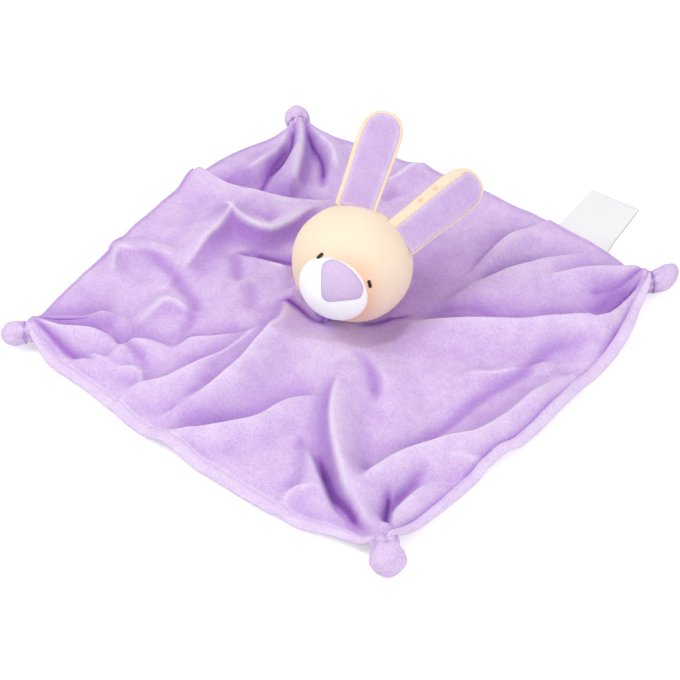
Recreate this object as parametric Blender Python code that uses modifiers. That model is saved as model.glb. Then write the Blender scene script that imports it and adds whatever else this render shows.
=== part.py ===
"""Comfort blanket lovey: a velour square with knotted corners and a stuffed rabbit head sewn to its middle.

Metres, +Z up. The blanket lies on the table with its underside at z = 0 and its sides along X and Y.
The rabbit faces forward, to -Y, and lies back a little on the blanket.
"""
import math

import bmesh
import bpy
from mathutils import Euler, Matrix, Vector

# Clearances
CLEARANCE = 0.0003
MERGE_DISTANCE = 0.00001

# Blanket
BLANKET_HALF_WIDTH = 0.1405
CORNER_REACH_SHARE = 0.8683
CORNER_REACH = BLANKET_HALF_WIDTH * CORNER_REACH_SHARE
LAYER_THICKNESS = 0.0013
LAYER_GAP = 0.0005
HEM_WIDTH = 0.005
FOLD_HEIGHT = 0.015
FOLD_WIDTH = 0.016
FOLD_BLEND_POWER = 3
STEEP_WIDTH_SHARE = 0.75
GENTLE_WIDTH_SHARE = 1.5
SLOPE_POWER = 1.5
SAMPLE_SHARES = (-0.33, 0, 0.33)
CORNER_LIFT = 0.005
CORNER_LIFT_REACH = 0.03
BLANKET_CELLS = 26
SIDE_BOW_POWER = 5
CORNER_PULL_POWER = 3

# Head
HEAD_RADIUS = 0.0334
HEAD_HEIGHT_RADIUS = 0.0313
HEAD_CENTRE_X = 0.0056
HEAD_CENTRE_Y = 0.0044
HEAD_REST_GAP = 0.0008
HEAD_HEADING = math.radians(25.2)
HEAD_LIFT = math.radians(28.2)
HEAD_ROLL = math.radians(23)
COVER_THICKNESS = 0.0012
NOD_SWEEP = 0.012
FOLD_MARGIN = 0.001

# Neck
NECK_TO_CENTRE_SHARE = 0.7987
NECK_TO_CENTRE = HEAD_HEIGHT_RADIUS * NECK_TO_CENTRE_SHARE
NECK_BALL_RADIUS = 0.0094
NECK_COLUMN_RADIUS = 0.005
NECK_FOOT_RADIUS = 0.007
NECK_APRON = 0.003
NECK_THREAD_RADIUS = 0.0005
NECK_TILT = math.radians(20)
NECK_THREAD_ANGLE = math.radians(75)

# Muzzle and nose
MUZZLE_HALF_WIDTH_SHARE = 0.602
MUZZLE_HALF_HEIGHT_SHARE = 0.572
MUZZLE_DEPTH_SHARE = 0.479
MUZZLE_HALF_WIDTH = HEAD_RADIUS * MUZZLE_HALF_WIDTH_SHARE
MUZZLE_HALF_HEIGHT = HEAD_RADIUS * MUZZLE_HALF_HEIGHT_SHARE
MUZZLE_DEPTH_RADIUS = HEAD_RADIUS * MUZZLE_DEPTH_SHARE
MUZZLE_OUT_SHARE = 0.7186
MUZZLE_OUT = HEAD_RADIUS * MUZZLE_OUT_SHARE
MUZZLE_DROP = math.radians(22)
NOSE_WIDTH_SHARE = 1.304
NOSE_HEIGHT_SHARE = 1.055
NOSE_RISE_SHARE = 0.119
NOSE_SHIFT_SHARE = 0.05
NOSE_WIDTH = MUZZLE_HALF_WIDTH * NOSE_WIDTH_SHARE
NOSE_HEIGHT = MUZZLE_HALF_WIDTH * NOSE_HEIGHT_SHARE
NOSE_RISE = MUZZLE_HALF_WIDTH * NOSE_RISE_SHARE
NOSE_SHIFT = MUZZLE_HALF_WIDTH * NOSE_SHIFT_SHARE
NOSE_ROLL = math.radians(11.7)
NOSE_THICKNESS = 0.001
NOSE_VIEW_TILT = math.radians(17)
NOSE_POINTS = 36

# Eyes
EYE_LENGTH = 0.0045
EYE_WIDTH = 0.0015
EYE_DEPTH = 0.0012
EYE_SIDE_ANGLE = math.radians(27.2)
EYE_RAISE_ANGLE = math.radians(4)
EYE_LEFT_SLANT = math.radians(17)
EYE_RIGHT_SLANT = math.radians(42)

# Ears
EAR_LENGTH = 0.055
EAR_HALF_WIDTH = 0.0122
EAR_BASE_SHARE = 0.92
EAR_CROWN_POWER = 0.8
EAR_FULLNESS_SHARE = 0.75
EAR_TIP_SHARE = 0.7
EAR_TIP_ROUND_SHARE = 0.85
EAR_PAD_WIDTH_SHARE = 0.65
EAR_PAD_LENGTH_SHARE = 0.36
EAR_SWELL = 0.0024
EAR_COVER_THICKNESS = 0.001
EAR_RIM_WIDTH = 0.0022
EAR_ROOT_RADIUS = 0.002
EAR_ROWS = 12
EAR_COLUMNS = 6
EAR_LEFT_PLACE = math.radians(-24)
EAR_LEFT_SPLAY = math.radians(-13.3)
EAR_LEFT_LEAN = math.radians(22)
EAR_RIGHT_PLACE = math.radians(29.5)
EAR_RIGHT_SPLAY = math.radians(22.2)
EAR_RIGHT_LEAN = math.radians(30)

# Knots
KNOT_RADIUS = 0.0086
KNOT_LENGTH = 0.0165
KNOT_SIZE_SHARES = {
    "front_left": (0.76, 0.92),
    "front_right": (1, 1),
    "back_left": (0.92, 0.96),
    "back_right": (0.72, 1.2),
}
KNOT_NECK_RADIUS = 0.0052
KNOT_FLARE_RADIUS = 0.006
KNOT_FLARE_LENGTH = 0.0008
KNOT_WAIST_LENGTH = 0.0018
KNOT_THREAD_RADIUS = 0.0005
KNOT_SEGMENTS = 20
KNOT_STEPS = 9

# Label
LABEL_WIDTH = 0.034
LABEL_LENGTH = 0.03
LABEL_PLY = 0.0004
LABEL_FOLD_RADIUS = 0.0004
LABEL_RISE = math.radians(25)
LABEL_CENTRE_SHARE = 0.5222
LABEL_CENTRE_X = BLANKET_HALF_WIDTH * LABEL_CENTRE_SHARE
LABEL_CELLS = 8
LABEL_FOLD_SHARE = 0.1
LABEL_EDGE_SHARE = 0.05

# Fold lines across the blanket: a width share of FOLD_WIDTH, then the steep side (1 left of the line,
# -1 right of it, 0 neither), then points as shares of the blanket's half width, each with a height
# share of FOLD_HEIGHT.
FOLD_LINE_SHARES = (
    (0.88, 1, ((0.23, 0.07, 0.5), (0.34, 0.14, 0.75), (0.47, 0.19, 0.92), (0.59, 0.25, 0.92),
            (0.71, 0.35, 0.92), (0.81, 0.45, 0.92), (0.88, 0.54, 0.8), (0.89, 0.66, 0.67),
            (0.9, 0.79, 0.58), (0.9, 0.86, 0.42))),
    (0.94, 1, ((0.36, 0.4, 0.42), (0.41, 0.51, 0.58), (0.46, 0.59, 0.67), (0.51, 0.71, 0.58),
            (0.59, 0.84, 0.33))),
    (0.8, 1, ((0.56, 0.64, 0.33), (0.64, 0.72, 0.5), (0.72, 0.8, 0.58), (0.8, 0.87, 0.5),
            (0.86, 0.87, 0.42))),
    (0.81, 1, ((0.29, 0.55, 0.33), (0.3, 0.68, 0.5), (0.3, 0.77, 0.5), (0.33, 0.91, 0.25))),
    (0.81, -1, ((0.24, -0.3, 0.25), (0.32, -0.46, 0.58), (0.4, -0.56, 0.83), (0.49, -0.66, 1.0),
            (0.58, -0.74, 1.0), (0.69, -0.82, 0.92), (0.76, -0.86, 0.75), (0.86, -0.87, 0.5))),
    (0.94, 1, ((0.67, -0.72, 0.75), (0.66, -0.62, 0.75), (0.7, -0.53, 0.75), (0.74, -0.45, 0.75),
            (0.79, -0.34, 0.75), (0.8, -0.24, 0.75), (0.81, -0.15, 0.67), (0.84, -0.02, 0.58),
            (0.86, 0.1, 0.5), (0.86, 0.21, 0.33))),
    (0.8, 1, ((0.87, -0.86, 0.42), (0.85, -0.77, 0.5), (0.84, -0.66, 0.5), (0.85, -0.53, 0.5),
            (0.87, -0.34, 0.33))),
    (0.75, -1, ((0.2, -0.17, 0.17), (0.31, -0.19, 0.33), (0.4, -0.23, 0.33), (0.47, -0.32, 0.25))),
    (0.8, 1, ((0.37, -0.69, 0.25), (0.47, -0.75, 0.42), (0.55, -0.81, 0.42), (0.65, -0.87, 0.33))),
    (0.94, -1, ((-0.19, -0.07, 0.33), (-0.11, -0.23, 0.67), (-0.08, -0.41, 0.83), (-0.05, -0.58, 0.83),
            (-0.06, -0.71, 0.67), (-0.09, -0.78, 0.42))),
    (0.81, -1, ((-0.15, -0.29, 0.33), (-0.15, -0.44, 0.58), (-0.16, -0.56, 0.67), (-0.19, -0.67, 0.67),
            (-0.23, -0.75, 0.58), (-0.29, -0.82, 0.42), (-0.31, -0.88, 0.25))),
    (0.8, 1, ((-0.33, -0.58, 0.33), (-0.3, -0.54, 0.5), (-0.22, -0.45, 0.5), (-0.16, -0.34, 0.33))),
    (0.8, 1, ((-0.07, -0.96, 0.33), (0.02, -0.9, 0.5), (0.1, -0.81, 0.58), (0.16, -0.73, 0.58),
            (0.18, -0.6, 0.42), (0.21, -0.52, 0.33), (0.31, -0.45, 0.25))),
    (0.8, 1, ((-0.5, -0.73, 0.42), (-0.48, -0.67, 0.5), (-0.41, -0.62, 0.42), (-0.35, -0.61, 0.25))),
    (0.8, 1, ((-0.86, -0.86, 0.42), (-0.73, -0.81, 0.58), (-0.64, -0.74, 0.58), (-0.56, -0.71, 0.42))),
    (0.75, 1, ((-0.86, -0.82, 0.4), (-0.81, -0.68, 0.42), (-0.71, -0.58, 0.5), (-0.66, -0.53, 0.33))),
    (0.94, 1, ((-0.5, 0.37, 0.58), (-0.5, 0.27, 0.75), (-0.51, 0.2, 0.83), (-0.57, 0.15, 0.83),
            (-0.66, 0.07, 0.75), (-0.65, -0.04, 0.67), (-0.66, -0.15, 0.5), (-0.66, -0.21, 0.33))),
    (0.8, 0, ((-0.49, -0.01, 0.42), (-0.38, 0.01, 0.5), (-0.29, 0.02, 0.5))),
    (0.81, 1, ((-0.97, 0.27, 0.83), (-0.84, 0.24, 0.92), (-0.73, 0.24, 0.92), (-0.64, 0.26, 0.92),
            (-0.56, 0.32, 0.83), (-0.5, 0.37, 0.75), (-0.43, 0.48, 0.58))),
    (0.8, 1, ((-0.86, 0.86, 0.42), (-0.74, 0.68, 0.75), (-0.67, 0.58, 0.75), (-0.62, 0.48, 0.67))),
    (0.75, 0, ((-0.88, 0.8, 0.33), (-0.84, 0.63, 0.5), (-0.84, 0.53, 0.5), (-0.86, 0.43, 0.33))),
    (0.75, 0, ((-0.83, 0.84, 0.33), (-0.68, 0.8, 0.5), (-0.55, 0.69, 0.5))),
    (0.8, 0, ((-0.33, 0.74, 0.42), (-0.31, 0.83, 0.5), (-0.29, 0.93, 0.5), (-0.25, 1.0, 0.25))),
    (0.8, 1, ((-0.94, -0.28, 0.33), (-0.86, -0.23, 0.42), (-0.74, -0.21, 0.25))),
    (0.8, 0, ((0.85, -0.27, 0.25), (0.88, -0.22, 0.33), (0.91, -0.16, 0.25))),
)

# Nose outline: a domed top and a rounded point below, as shares of its width and height.
NOSE_OUTLINE_SHARES = (
    (0.0, 0.37), (0.23, 0.335), (0.42, 0.235), (0.5, 0.02), (0.43, -0.14), (0.275, -0.355), (0.1, -0.575),
    (0.0, -0.62), (-0.1, -0.575), (-0.275, -0.355), (-0.43, -0.14), (-0.5, 0.02), (-0.42, 0.235),
    (-0.23, 0.335),
)

SIDES = {"left": -1, "right": 1}
CORNERS = {
    "front_left": (-1, -1),
    "front_right": (1, -1),
    "back_left": (-1, 1),
    "back_right": (1, 1),
}

# How far each corner is pulled from a true square, as shares of the blanket's half width
CORNER_PULL_SHARES = {
    "front_left": (0.039, -0.014),
    "front_right": (0.043, -0.039),
    "back_left": (-0.013, -0.038),
    "back_right": (0.032, -0.018),
}

# Colour and roughness of each look
LOOKS = {
    "lilac_velour": ((0.62, 0.45, 0.83, 1.0), 0.9),
    "cream_velour": ((0.95, 0.83, 0.68, 1.0), 0.9),
    "white_velour": ((0.92, 0.92, 0.92, 1.0), 0.9),
    "pale_lilac_felt": ((0.7, 0.56, 0.87, 1.0), 0.9),
    "black_thread": ((0.01, 0.01, 0.01, 1.0), 0.6),
    "lilac_thread": ((0.45, 0.3, 0.65, 1.0), 0.7),
    "fibre_fill": ((0.9, 0.9, 0.88, 1.0), 1.0),
    "white_satin": ((0.95, 0.95, 0.95, 1.0), 0.35),
}


def clear_scene():
    """Remove every object from the open file."""
    for item in list(bpy.data.objects):
        bpy.data.objects.remove(item, do_unlink=True)


def make_collection(name):
    """Add a collection under the scene's own."""
    collection = bpy.data.collections.new(name)
    bpy.context.scene.collection.children.link(collection)
    return collection


clear_scene()
PART = make_collection("comfort_blanket_lovey")
CUTTERS = make_collection("cutters")


def material(look):
    """Fetch or make the material of one look."""
    found = bpy.data.materials.get(look)
    if found:
        return found
    colour, roughness = LOOKS[look]
    made = bpy.data.materials.new(look)
    made.use_nodes = True
    shader = made.node_tree.nodes["Principled BSDF"]
    shader.inputs["Base Color"].default_value = colour
    shader.inputs["Roughness"].default_value = roughness
    shader.inputs["Metallic"].default_value = 0
    return made


def mesh_object(name, bm, look, collection=None, smooth=True):
    """Turn a bmesh into a named object."""
    mesh = bpy.data.meshes.new(name)
    bm.normal_update()
    bm.to_mesh(mesh)
    bm.free()
    for face in mesh.polygons:
        face.use_smooth = smooth
    item = bpy.data.objects.new(name, mesh)
    (collection or PART).objects.link(item)
    if look:
        mesh.materials.append(material(look))
    return item


def as_cutter(item):
    """Hide a helper solid that only cuts others."""
    item.hide_render = True
    item.display_type = "WIRE"
    return item


def pivot(name, matrix, parent=None):
    """Add an empty, placed in the world or in its parent's own axes."""
    item = bpy.data.objects.new(name, None)
    PART.objects.link(item)
    item.parent = parent
    item.matrix_basis = matrix
    return item


def carried(item, parent, matrix=None):
    """Hang an object on a pivot, at a place given in the pivot's own axes."""
    item.parent = parent
    if matrix is not None:
        item.matrix_basis = matrix
    return item


def boolean(item, cutter, operation="DIFFERENCE"):
    """Cut, or keep the common part, with the exact solver."""
    cut = item.modifiers.new(operation.lower(), "BOOLEAN")
    cut.operation = operation
    cut.solver = "EXACT"
    cut.object = cutter
    return item


def solidify(item, thickness, offset):
    """Give a surface a thickness, on one side of it or the other."""
    wall = item.modifiers.new("thickness", "SOLIDIFY")
    wall.thickness = thickness
    wall.offset = offset
    wall.use_even_offset = False
    return item


def revolve(name, profile, steps, look, collection=None):
    """Turn a closed profile of (radius, height) points round Z."""
    bm = bmesh.new()
    points = [bm.verts.new((radius, 0, height)) for radius, height in profile]
    for first, second in zip(points, points[1:]):
        bm.edges.new((first, second))
    item = mesh_object(name, bm, look, collection)
    turn = item.modifiers.new("turn", "SCREW")
    turn.axis = "Z"
    turn.angle = math.tau
    turn.screw_offset = 0
    turn.steps = steps
    turn.render_steps = steps
    turn.use_merge_vertices = True
    turn.merge_threshold = MERGE_DISTANCE
    turn.use_normal_calculate = True
    return item


def ellipsoid(name, radii, look, collection=None, segments=32, rings=20):
    """Add a ball stretched along its own axes."""
    bm = bmesh.new()
    bmesh.ops.create_uvsphere(bm, u_segments=segments, v_segments=rings, radius=1)
    bmesh.ops.scale(bm, vec=radii, verts=bm.verts)
    return mesh_object(name, bm, look, collection)


def cube_cutter(name, width):
    """Add a cube that only cuts others."""
    bm = bmesh.new()
    bmesh.ops.create_cube(bm, size=1)
    bmesh.ops.scale(bm, vec=(width, width, width), verts=bm.verts)
    return as_cutter(mesh_object(name, bm, None, CUTTERS))


# Blanket: both layers share the grid lines, so their folds run parallel
CORNER_BOW = BLANKET_HALF_WIDTH - CORNER_REACH
INNER_SHARE = 1 - HEM_WIDTH / BLANKET_HALF_WIDTH
BLANKET_TOP = LAYER_THICKNESS + LAYER_GAP + LAYER_THICKNESS

# Head frame: x to the rabbit's right as seen, -y out of its face, z up through its crown
HEAD_TURN = Euler((0, 0, HEAD_HEADING)).to_matrix() @ Euler((-HEAD_LIFT, 0, 0)).to_matrix()
HEAD_AXES = HEAD_TURN @ Euler((0, HEAD_ROLL, 0)).to_matrix()
CROWN = HEAD_AXES @ Vector((0, 0, 1))
FACE = HEAD_AXES @ Vector((0, -1, 0))
HEAD_REACH_DOWN = math.hypot(HEAD_RADIUS * math.hypot(CROWN.x, CROWN.y), HEAD_HEIGHT_RADIUS * CROWN.z)
HEAD_CENTRE = Vector((HEAD_CENTRE_X, HEAD_CENTRE_Y, BLANKET_TOP + HEAD_REST_GAP + HEAD_REACH_DOWN))
NECK_POINT = HEAD_CENTRE - CROWN * NECK_TO_CENTRE
COLUMN = CROWN * math.cos(NECK_TILT) + FACE * math.sin(NECK_TILT)
COLUMN_LENGTH = (NECK_POINT.z - BLANKET_TOP - CLEARANCE) / COLUMN.z
NECK_FOOT = NECK_POINT - COLUMN * COLUMN_LENGTH
CELL_WIDTH = 2 * BLANKET_HALF_WIDTH / BLANKET_CELLS


def outline_point(u, v):
    """Map a square of -1 to 1 to the blanket: bowed sides that draw in to the knotted corners."""
    x = u * (CORNER_REACH + CORNER_BOW * (1 - abs(v) ** SIDE_BOW_POWER))
    y = v * (CORNER_REACH + CORNER_BOW * (1 - abs(u) ** SIDE_BOW_POWER))
    place = Vector((x, y))
    for corner, (across, back) in CORNERS.items():
        nearness = (1 + u * across) * (1 + v * back) / 4
        place += Vector(CORNER_PULL_SHARES[corner]) * BLANKET_HALF_WIDTH * nearness ** CORNER_PULL_POWER
    return place


def nearest(point, start, end):
    """Distance from a point to a straight run, and the share of the run at the nearest place."""
    run = end - start
    share = (point - start).dot(run) / run.length_squared
    share = min(max(share, 0), 1)
    return (point - start - run * share).length, share


def swell(distance, reach):
    """Fall smoothly from one at the middle to zero at the reach."""
    if distance >= reach:
        return 0
    return (1 - (distance / reach) ** 2) ** 2


def line_height(point, width, steep, line):
    """Height that one fold line gives at a point; a line with a steep side is wide on its other side."""
    closest = math.inf
    for (ax, ay, start_share), (bx, by, end_share) in zip(line, line[1:]):
        start = Vector((ax, ay)) * BLANKET_HALF_WIDTH
        end = Vector((bx, by)) * BLANKET_HALF_WIDTH
        distance, share = nearest(point, start, end)
        if distance < closest:
            closest = distance
            crest_share = start_share + (end_share - start_share) * share
            side = math.copysign(1, (end - start).cross(point - start))
    reach = width
    if steep:
        reach = width * (STEEP_WIDTH_SHARE if side == steep else GENTLE_WIDTH_SHARE)
    if closest >= reach:
        return 0
    return FOLD_HEIGHT * crest_share * (1 - closest / reach) ** SLOPE_POWER


def room_under_head(point):
    """Height that stays clear of the head while it nods and twists."""
    start = HEAD_CENTRE.xy
    end = start + FACE.xy.normalized() * NOD_SWEEP
    distance = nearest(point, start, end)[0]
    under_head = distance ** 2 / (HEAD_RADIUS + HEAD_RADIUS) - FOLD_MARGIN
    round_neck = (point - NECK_FOOT.xy).length - NECK_FOOT_RADIUS - CELL_WIDTH
    return max(min(under_head, round_neck), 0)


def fold_height(point):
    """Height of the folds above the flat cloth."""
    heights = [
        line_height(point, share * FOLD_WIDTH, steep, line)
        for share, steep, line in FOLD_LINE_SHARES
    ]
    for across, back in CORNERS.values():
        corner = outline_point(across, back)
        heights.append(CORNER_LIFT * swell((point - corner).length, CORNER_LIFT_REACH))
    total = sum(height ** FOLD_BLEND_POWER for height in heights)
    return min(total ** (1 / FOLD_BLEND_POWER), room_under_head(point))


def mean_fold_height(point):
    """Fold height averaged over one cell of the cloth's grid."""
    offsets = [Vector((across, back)) * CELL_WIDTH for across in SAMPLE_SHARES for back in SAMPLE_SHARES]
    return sum(fold_height(point + offset) for offset in offsets) / len(offsets)


def grid_place(index):
    """Place of a grid line: even cells inside the hem line, and one narrow cell outside it."""
    if index in (0, BLANKET_CELLS):
        return 2 * index / BLANKET_CELLS - 1
    return (2 * (index - 1) / (BLANKET_CELLS - 2) - 1) * INNER_SHARE


GRID_LINES = range(BLANKET_CELLS + 1)
GRID_POINTS = {(i, j): outline_point(grid_place(i), grid_place(j)) for i in GRID_LINES for j in GRID_LINES}
FOLD_HEIGHTS = {key: mean_fold_height(point) for key, point in GRID_POINTS.items()}


def cloth_layer(name, first_line, rise, offset):
    """Build one velour layer: a grid laid over the folds, then thickened."""
    cells = BLANKET_CELLS - first_line - first_line
    bm = bmesh.new()
    bmesh.ops.create_grid(bm, x_segments=cells, y_segments=cells, size=1)
    for vert in bm.verts:
        i = first_line + round((vert.co.x + 1) / 2 * cells)
        j = first_line + round((vert.co.y + 1) / 2 * cells)
        point = GRID_POINTS[(i, j)]
        height = min(FOLD_HEIGHTS[(i, j)], room_under_head(point))
        vert.co = (point.x, point.y, rise + height)
    item = mesh_object(name, bm, "lilac_velour")
    return solidify(item, LAYER_THICKNESS, offset)


cloth_layer("blanket_bottom_layer", 0, LAYER_THICKNESS, -1)
cloth_layer("blanket_top_layer", 1, LAYER_THICKNESS + LAYER_GAP, 1)


# Neck: a tuft of the blanket drawn up into a ball that the head turns on
def arc(radius, start, end, steps):
    """Points of (radius, height) on a ball from one angle to another, from its top down."""
    angles = [start + (end - start) * step / steps for step in range(steps + 1)]
    return [(radius * math.sin(angle), radius * math.cos(angle)) for angle in angles]


column_start = math.pi - math.asin(NECK_COLUMN_RADIUS / NECK_BALL_RADIUS)
tuft_profile = [(0, NECK_BALL_RADIUS)] + arc(NECK_BALL_RADIUS, 0, column_start, 12)[1:]
tuft_profile += [
    (NECK_COLUMN_RADIUS, -COLUMN_LENGTH + NECK_COLUMN_RADIUS - NECK_APRON),
    (NECK_FOOT_RADIUS, -COLUMN_LENGTH - NECK_FOOT_RADIUS),
    (0, -COLUMN_LENGTH - NECK_FOOT_RADIUS),
]
neck_gather = revolve("neck_gather", tuft_profile, 24, "lilac_velour")
neck_gather.matrix_basis = (
    Matrix.Translation(NECK_POINT) @ HEAD_AXES.to_4x4() @ Matrix.Rotation(NECK_TILT, 4, "X")
)

floor_depth = NECK_FOOT_RADIUS * 4
tuft_floor = cube_cutter("tuft_floor", floor_depth)
tuft_floor.location = (NECK_FOOT.x, NECK_FOOT.y, BLANKET_TOP + CLEARANCE - floor_depth / 2)
boolean(neck_gather, tuft_floor)

neck_matrix = Matrix.Translation(NECK_POINT) @ HEAD_AXES.to_4x4()
neck_pivot = pivot("neck_pivot", neck_matrix)
head_pivot = pivot("head_pivot", Matrix.Identity(4), neck_pivot)


def ring(name, major, minor, look, segments=28, sides=8):
    """Add a ring of thread round Z."""
    turn = [math.tau * side / sides for side in range(sides)]
    profile = [(major + minor * math.cos(angle), minor * math.sin(angle)) for angle in turn]
    return revolve(name, profile + profile[:1], segments, look)


thread_centre = NECK_BALL_RADIUS + CLEARANCE + NECK_THREAD_RADIUS
neck_thread = ring(
    "neck_thread", thread_centre * math.sin(NECK_THREAD_ANGLE), NECK_THREAD_RADIUS, "lilac_thread"
)
thread_drop = -thread_centre * math.cos(NECK_THREAD_ANGLE)
carried(neck_thread, neck_pivot, Matrix.Translation((0, 0, thread_drop)))

# Head: two cream shells on a ball of fibre, all cut clear of the neck ball and of the ear roots
NECK_SOCKET_RADIUS = thread_centre + NECK_THREAD_RADIUS + CLEARANCE
head_place = Matrix.Translation((0, 0, NECK_TO_CENTRE))


def head_ball(name, inset, look, collection=None):
    """Add the head's rounded form, smaller all round by the inset."""
    radii = (HEAD_RADIUS - inset, HEAD_RADIUS - inset, HEAD_HEIGHT_RADIUS - inset)
    item = ellipsoid(name, radii, look, collection, 36, 20)
    return carried(item, head_pivot, head_place)


neck_socket = as_cutter(ellipsoid("neck_socket", [NECK_SOCKET_RADIUS] * 3, None, CUTTERS))
carried(neck_socket, head_pivot, Matrix.Identity(4))
head_hollow = as_cutter(head_ball("head_hollow", COVER_THICKNESS, None, CUTTERS))


def half_block(name, side):
    """Add a block that covers one half of the head, from just past the seam."""
    width = HEAD_RADIUS * 4
    middle = side * (width / 2 - CLEARANCE / 2)
    return carried(cube_cutter(name, width), head_pivot, Matrix.Translation((0, middle, NECK_TO_CENTRE)))


front_half_cutter = half_block("front_half_cutter", -1)
back_half_cutter = half_block("back_half_cutter", 1)


def ear_frame(place, splay, lean):
    """Axes of an ear in the head's own frame, with the origin on its root line."""
    base = Vector((HEAD_RADIUS * math.sin(place), 0, HEAD_HEIGHT_RADIUS * math.cos(place)))
    turn = Matrix.Rotation(splay, 4, "Y") @ Matrix.Rotation(-lean, 4, "X")
    return head_place @ Matrix.Translation(base) @ turn


EAR_FRAMES = {
    "left": ear_frame(EAR_LEFT_PLACE, EAR_LEFT_SPLAY, EAR_LEFT_LEAN),
    "right": ear_frame(EAR_RIGHT_PLACE, EAR_RIGHT_SPLAY, EAR_RIGHT_LEAN),
}
EAR_ROOT_HALF = EAR_HALF_WIDTH * EAR_BASE_SHARE


def bar(name, radius, half_length, look, collection=None, segments=20):
    """Add a round bar along X."""
    bm = bmesh.new()
    bmesh.ops.create_cone(
        bm,
        cap_ends=True,
        segments=segments,
        radius1=radius,
        radius2=radius,
        depth=half_length + half_length,
        matrix=Matrix.Rotation(math.pi / 2, 4, "Y"),
    )
    return mesh_object(name, bm, look, collection)


root_clearances = []
for side, frame in EAR_FRAMES.items():
    groove = bar(
        f"ear_{side}_groove", EAR_ROOT_RADIUS + CLEARANCE, EAR_ROOT_HALF + CLEARANCE, None, CUTTERS
    )
    carried(as_cutter(groove), head_pivot, frame)
    root_clearances.append(groove)

head_front_panel = head_ball("head_front_panel", 0, "cream_velour")
head_back_panel = head_ball("head_back_panel", 0, "cream_velour")
head_stuffing = head_ball("head_stuffing", COVER_THICKNESS + CLEARANCE, "fibre_fill")
for panel, half in ((head_front_panel, back_half_cutter), (head_back_panel, front_half_cutter)):
    boolean(panel, half)
    boolean(panel, head_hollow)
for piece in (head_front_panel, head_back_panel, head_stuffing):
    boolean(piece, neck_socket)
    for groove in root_clearances:
        boolean(piece, groove)

# Muzzle: a white dome seated on the front panel, with its own pad of fibre
head_outside = as_cutter(head_ball("head_outside", -CLEARANCE, None, CUTTERS))
MUZZLE_FRAME = (
    head_place
    @ Matrix.Rotation(MUZZLE_DROP, 4, "X")
    @ Matrix.Translation((0, -MUZZLE_OUT, 0))
)


def muzzle_ball(name, inset, look, collection=None, segments=32, rings=20):
    """Add the muzzle's rounded form, smaller all round by the inset."""
    radii = (MUZZLE_HALF_WIDTH - inset, MUZZLE_DEPTH_RADIUS - inset, MUZZLE_HALF_HEIGHT - inset)
    item = ellipsoid(name, radii, look, collection, segments, rings)
    return carried(item, head_pivot, MUZZLE_FRAME)


muzzle_hollow = as_cutter(muzzle_ball("muzzle_hollow", COVER_THICKNESS, None, CUTTERS))
muzzle_cover = boolean(muzzle_ball("muzzle_cover", 0, "white_velour"), muzzle_hollow)
muzzle_stuffing = muzzle_ball("muzzle_stuffing", COVER_THICKNESS + CLEARANCE, "fibre_fill")
for piece in (muzzle_cover, muzzle_stuffing):
    boolean(piece, head_outside)


# Nose: the outline is pushed out through the muzzle, and only a thin skin of it stays
def smooth_closed(points, share):
    """Point on a smooth closed curve through the given points."""
    count = len(points)
    place = share * count
    index = int(place) % count
    t = place - int(place)
    before, start, end, after = (Vector(points[(index + step) % count]) for step in (-1, 0, 1, 2))
    leave = (end - before) / 2
    arrive = (after - start) / 2
    square = t * t
    cube = square * t
    return (
        start * (2 * cube - 3 * square + 1)
        + leave * (cube - 2 * square + t)
        + end * (3 * square - 2 * cube)
        + arrive * (cube - square)
    )


bm = bmesh.new()
bmesh.ops.create_circle(bm, cap_ends=True, segments=NOSE_POINTS, radius=NOSE_WIDTH)
bm.verts.ensure_lookup_table()
for number, vert in enumerate(bm.verts):
    spot = smooth_closed(NOSE_OUTLINE_SHARES, number / NOSE_POINTS)
    vert.co = (spot.x * NOSE_WIDTH, 0, spot.y * NOSE_HEIGHT)
pushed = bmesh.ops.extrude_face_region(bm, geom=bm.faces[:])
tips = [item for item in pushed["geom"] if isinstance(item, bmesh.types.BMVert)]
bmesh.ops.translate(bm, vec=(0, -MUZZLE_DEPTH_RADIUS - MUZZLE_OUT, 0), verts=tips)
bmesh.ops.recalc_face_normals(bm, faces=bm.faces)
nose_patch = mesh_object("nose_patch", bm, "pale_lilac_felt", smooth=False)
muzzle_middle = MUZZLE_FRAME.to_translation()
nose_frame = (
    Matrix.Translation(muzzle_middle)
    @ Matrix.Rotation(-NOSE_VIEW_TILT, 4, "X")
    @ Matrix.Translation((NOSE_SHIFT, 0, NOSE_RISE))
    @ Matrix.Rotation(NOSE_ROLL, 4, "Y")
)
carried(nose_patch, head_pivot, nose_frame)
nose_outside = muzzle_ball("nose_outside", -CLEARANCE - NOSE_THICKNESS, None, CUTTERS, 40, 28)
nose_inside = muzzle_ball("nose_inside", -CLEARANCE, None, CUTTERS, 40, 28)
boolean(nose_patch, as_cutter(nose_outside), "INTERSECT")
boolean(nose_patch, as_cutter(nose_inside))
boolean(nose_patch, head_outside)

# Eyes: short stitched bars
EYE_SLANTS = {"left": EYE_LEFT_SLANT, "right": EYE_RIGHT_SLANT}
for side, sign in SIDES.items():
    eye_radii = (EYE_WIDTH / 2, EYE_DEPTH / 2, EYE_LENGTH / 2)
    eye = ellipsoid(f"eye_{side}", eye_radii, "black_thread", None, 16, 10)
    aim = Matrix.Rotation(sign * EYE_SIDE_ANGLE, 4, "Z") @ Matrix.Rotation(-EYE_RAISE_ANGLE, 4, "X")
    out = HEAD_RADIUS + CLEARANCE + EYE_DEPTH / 2
    slant = Matrix.Rotation(-sign * EYE_SLANTS[side], 4, "Y")
    carried(eye, head_pivot, head_place @ aim @ Matrix.Translation((0, -out, 0)) @ slant)


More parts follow.
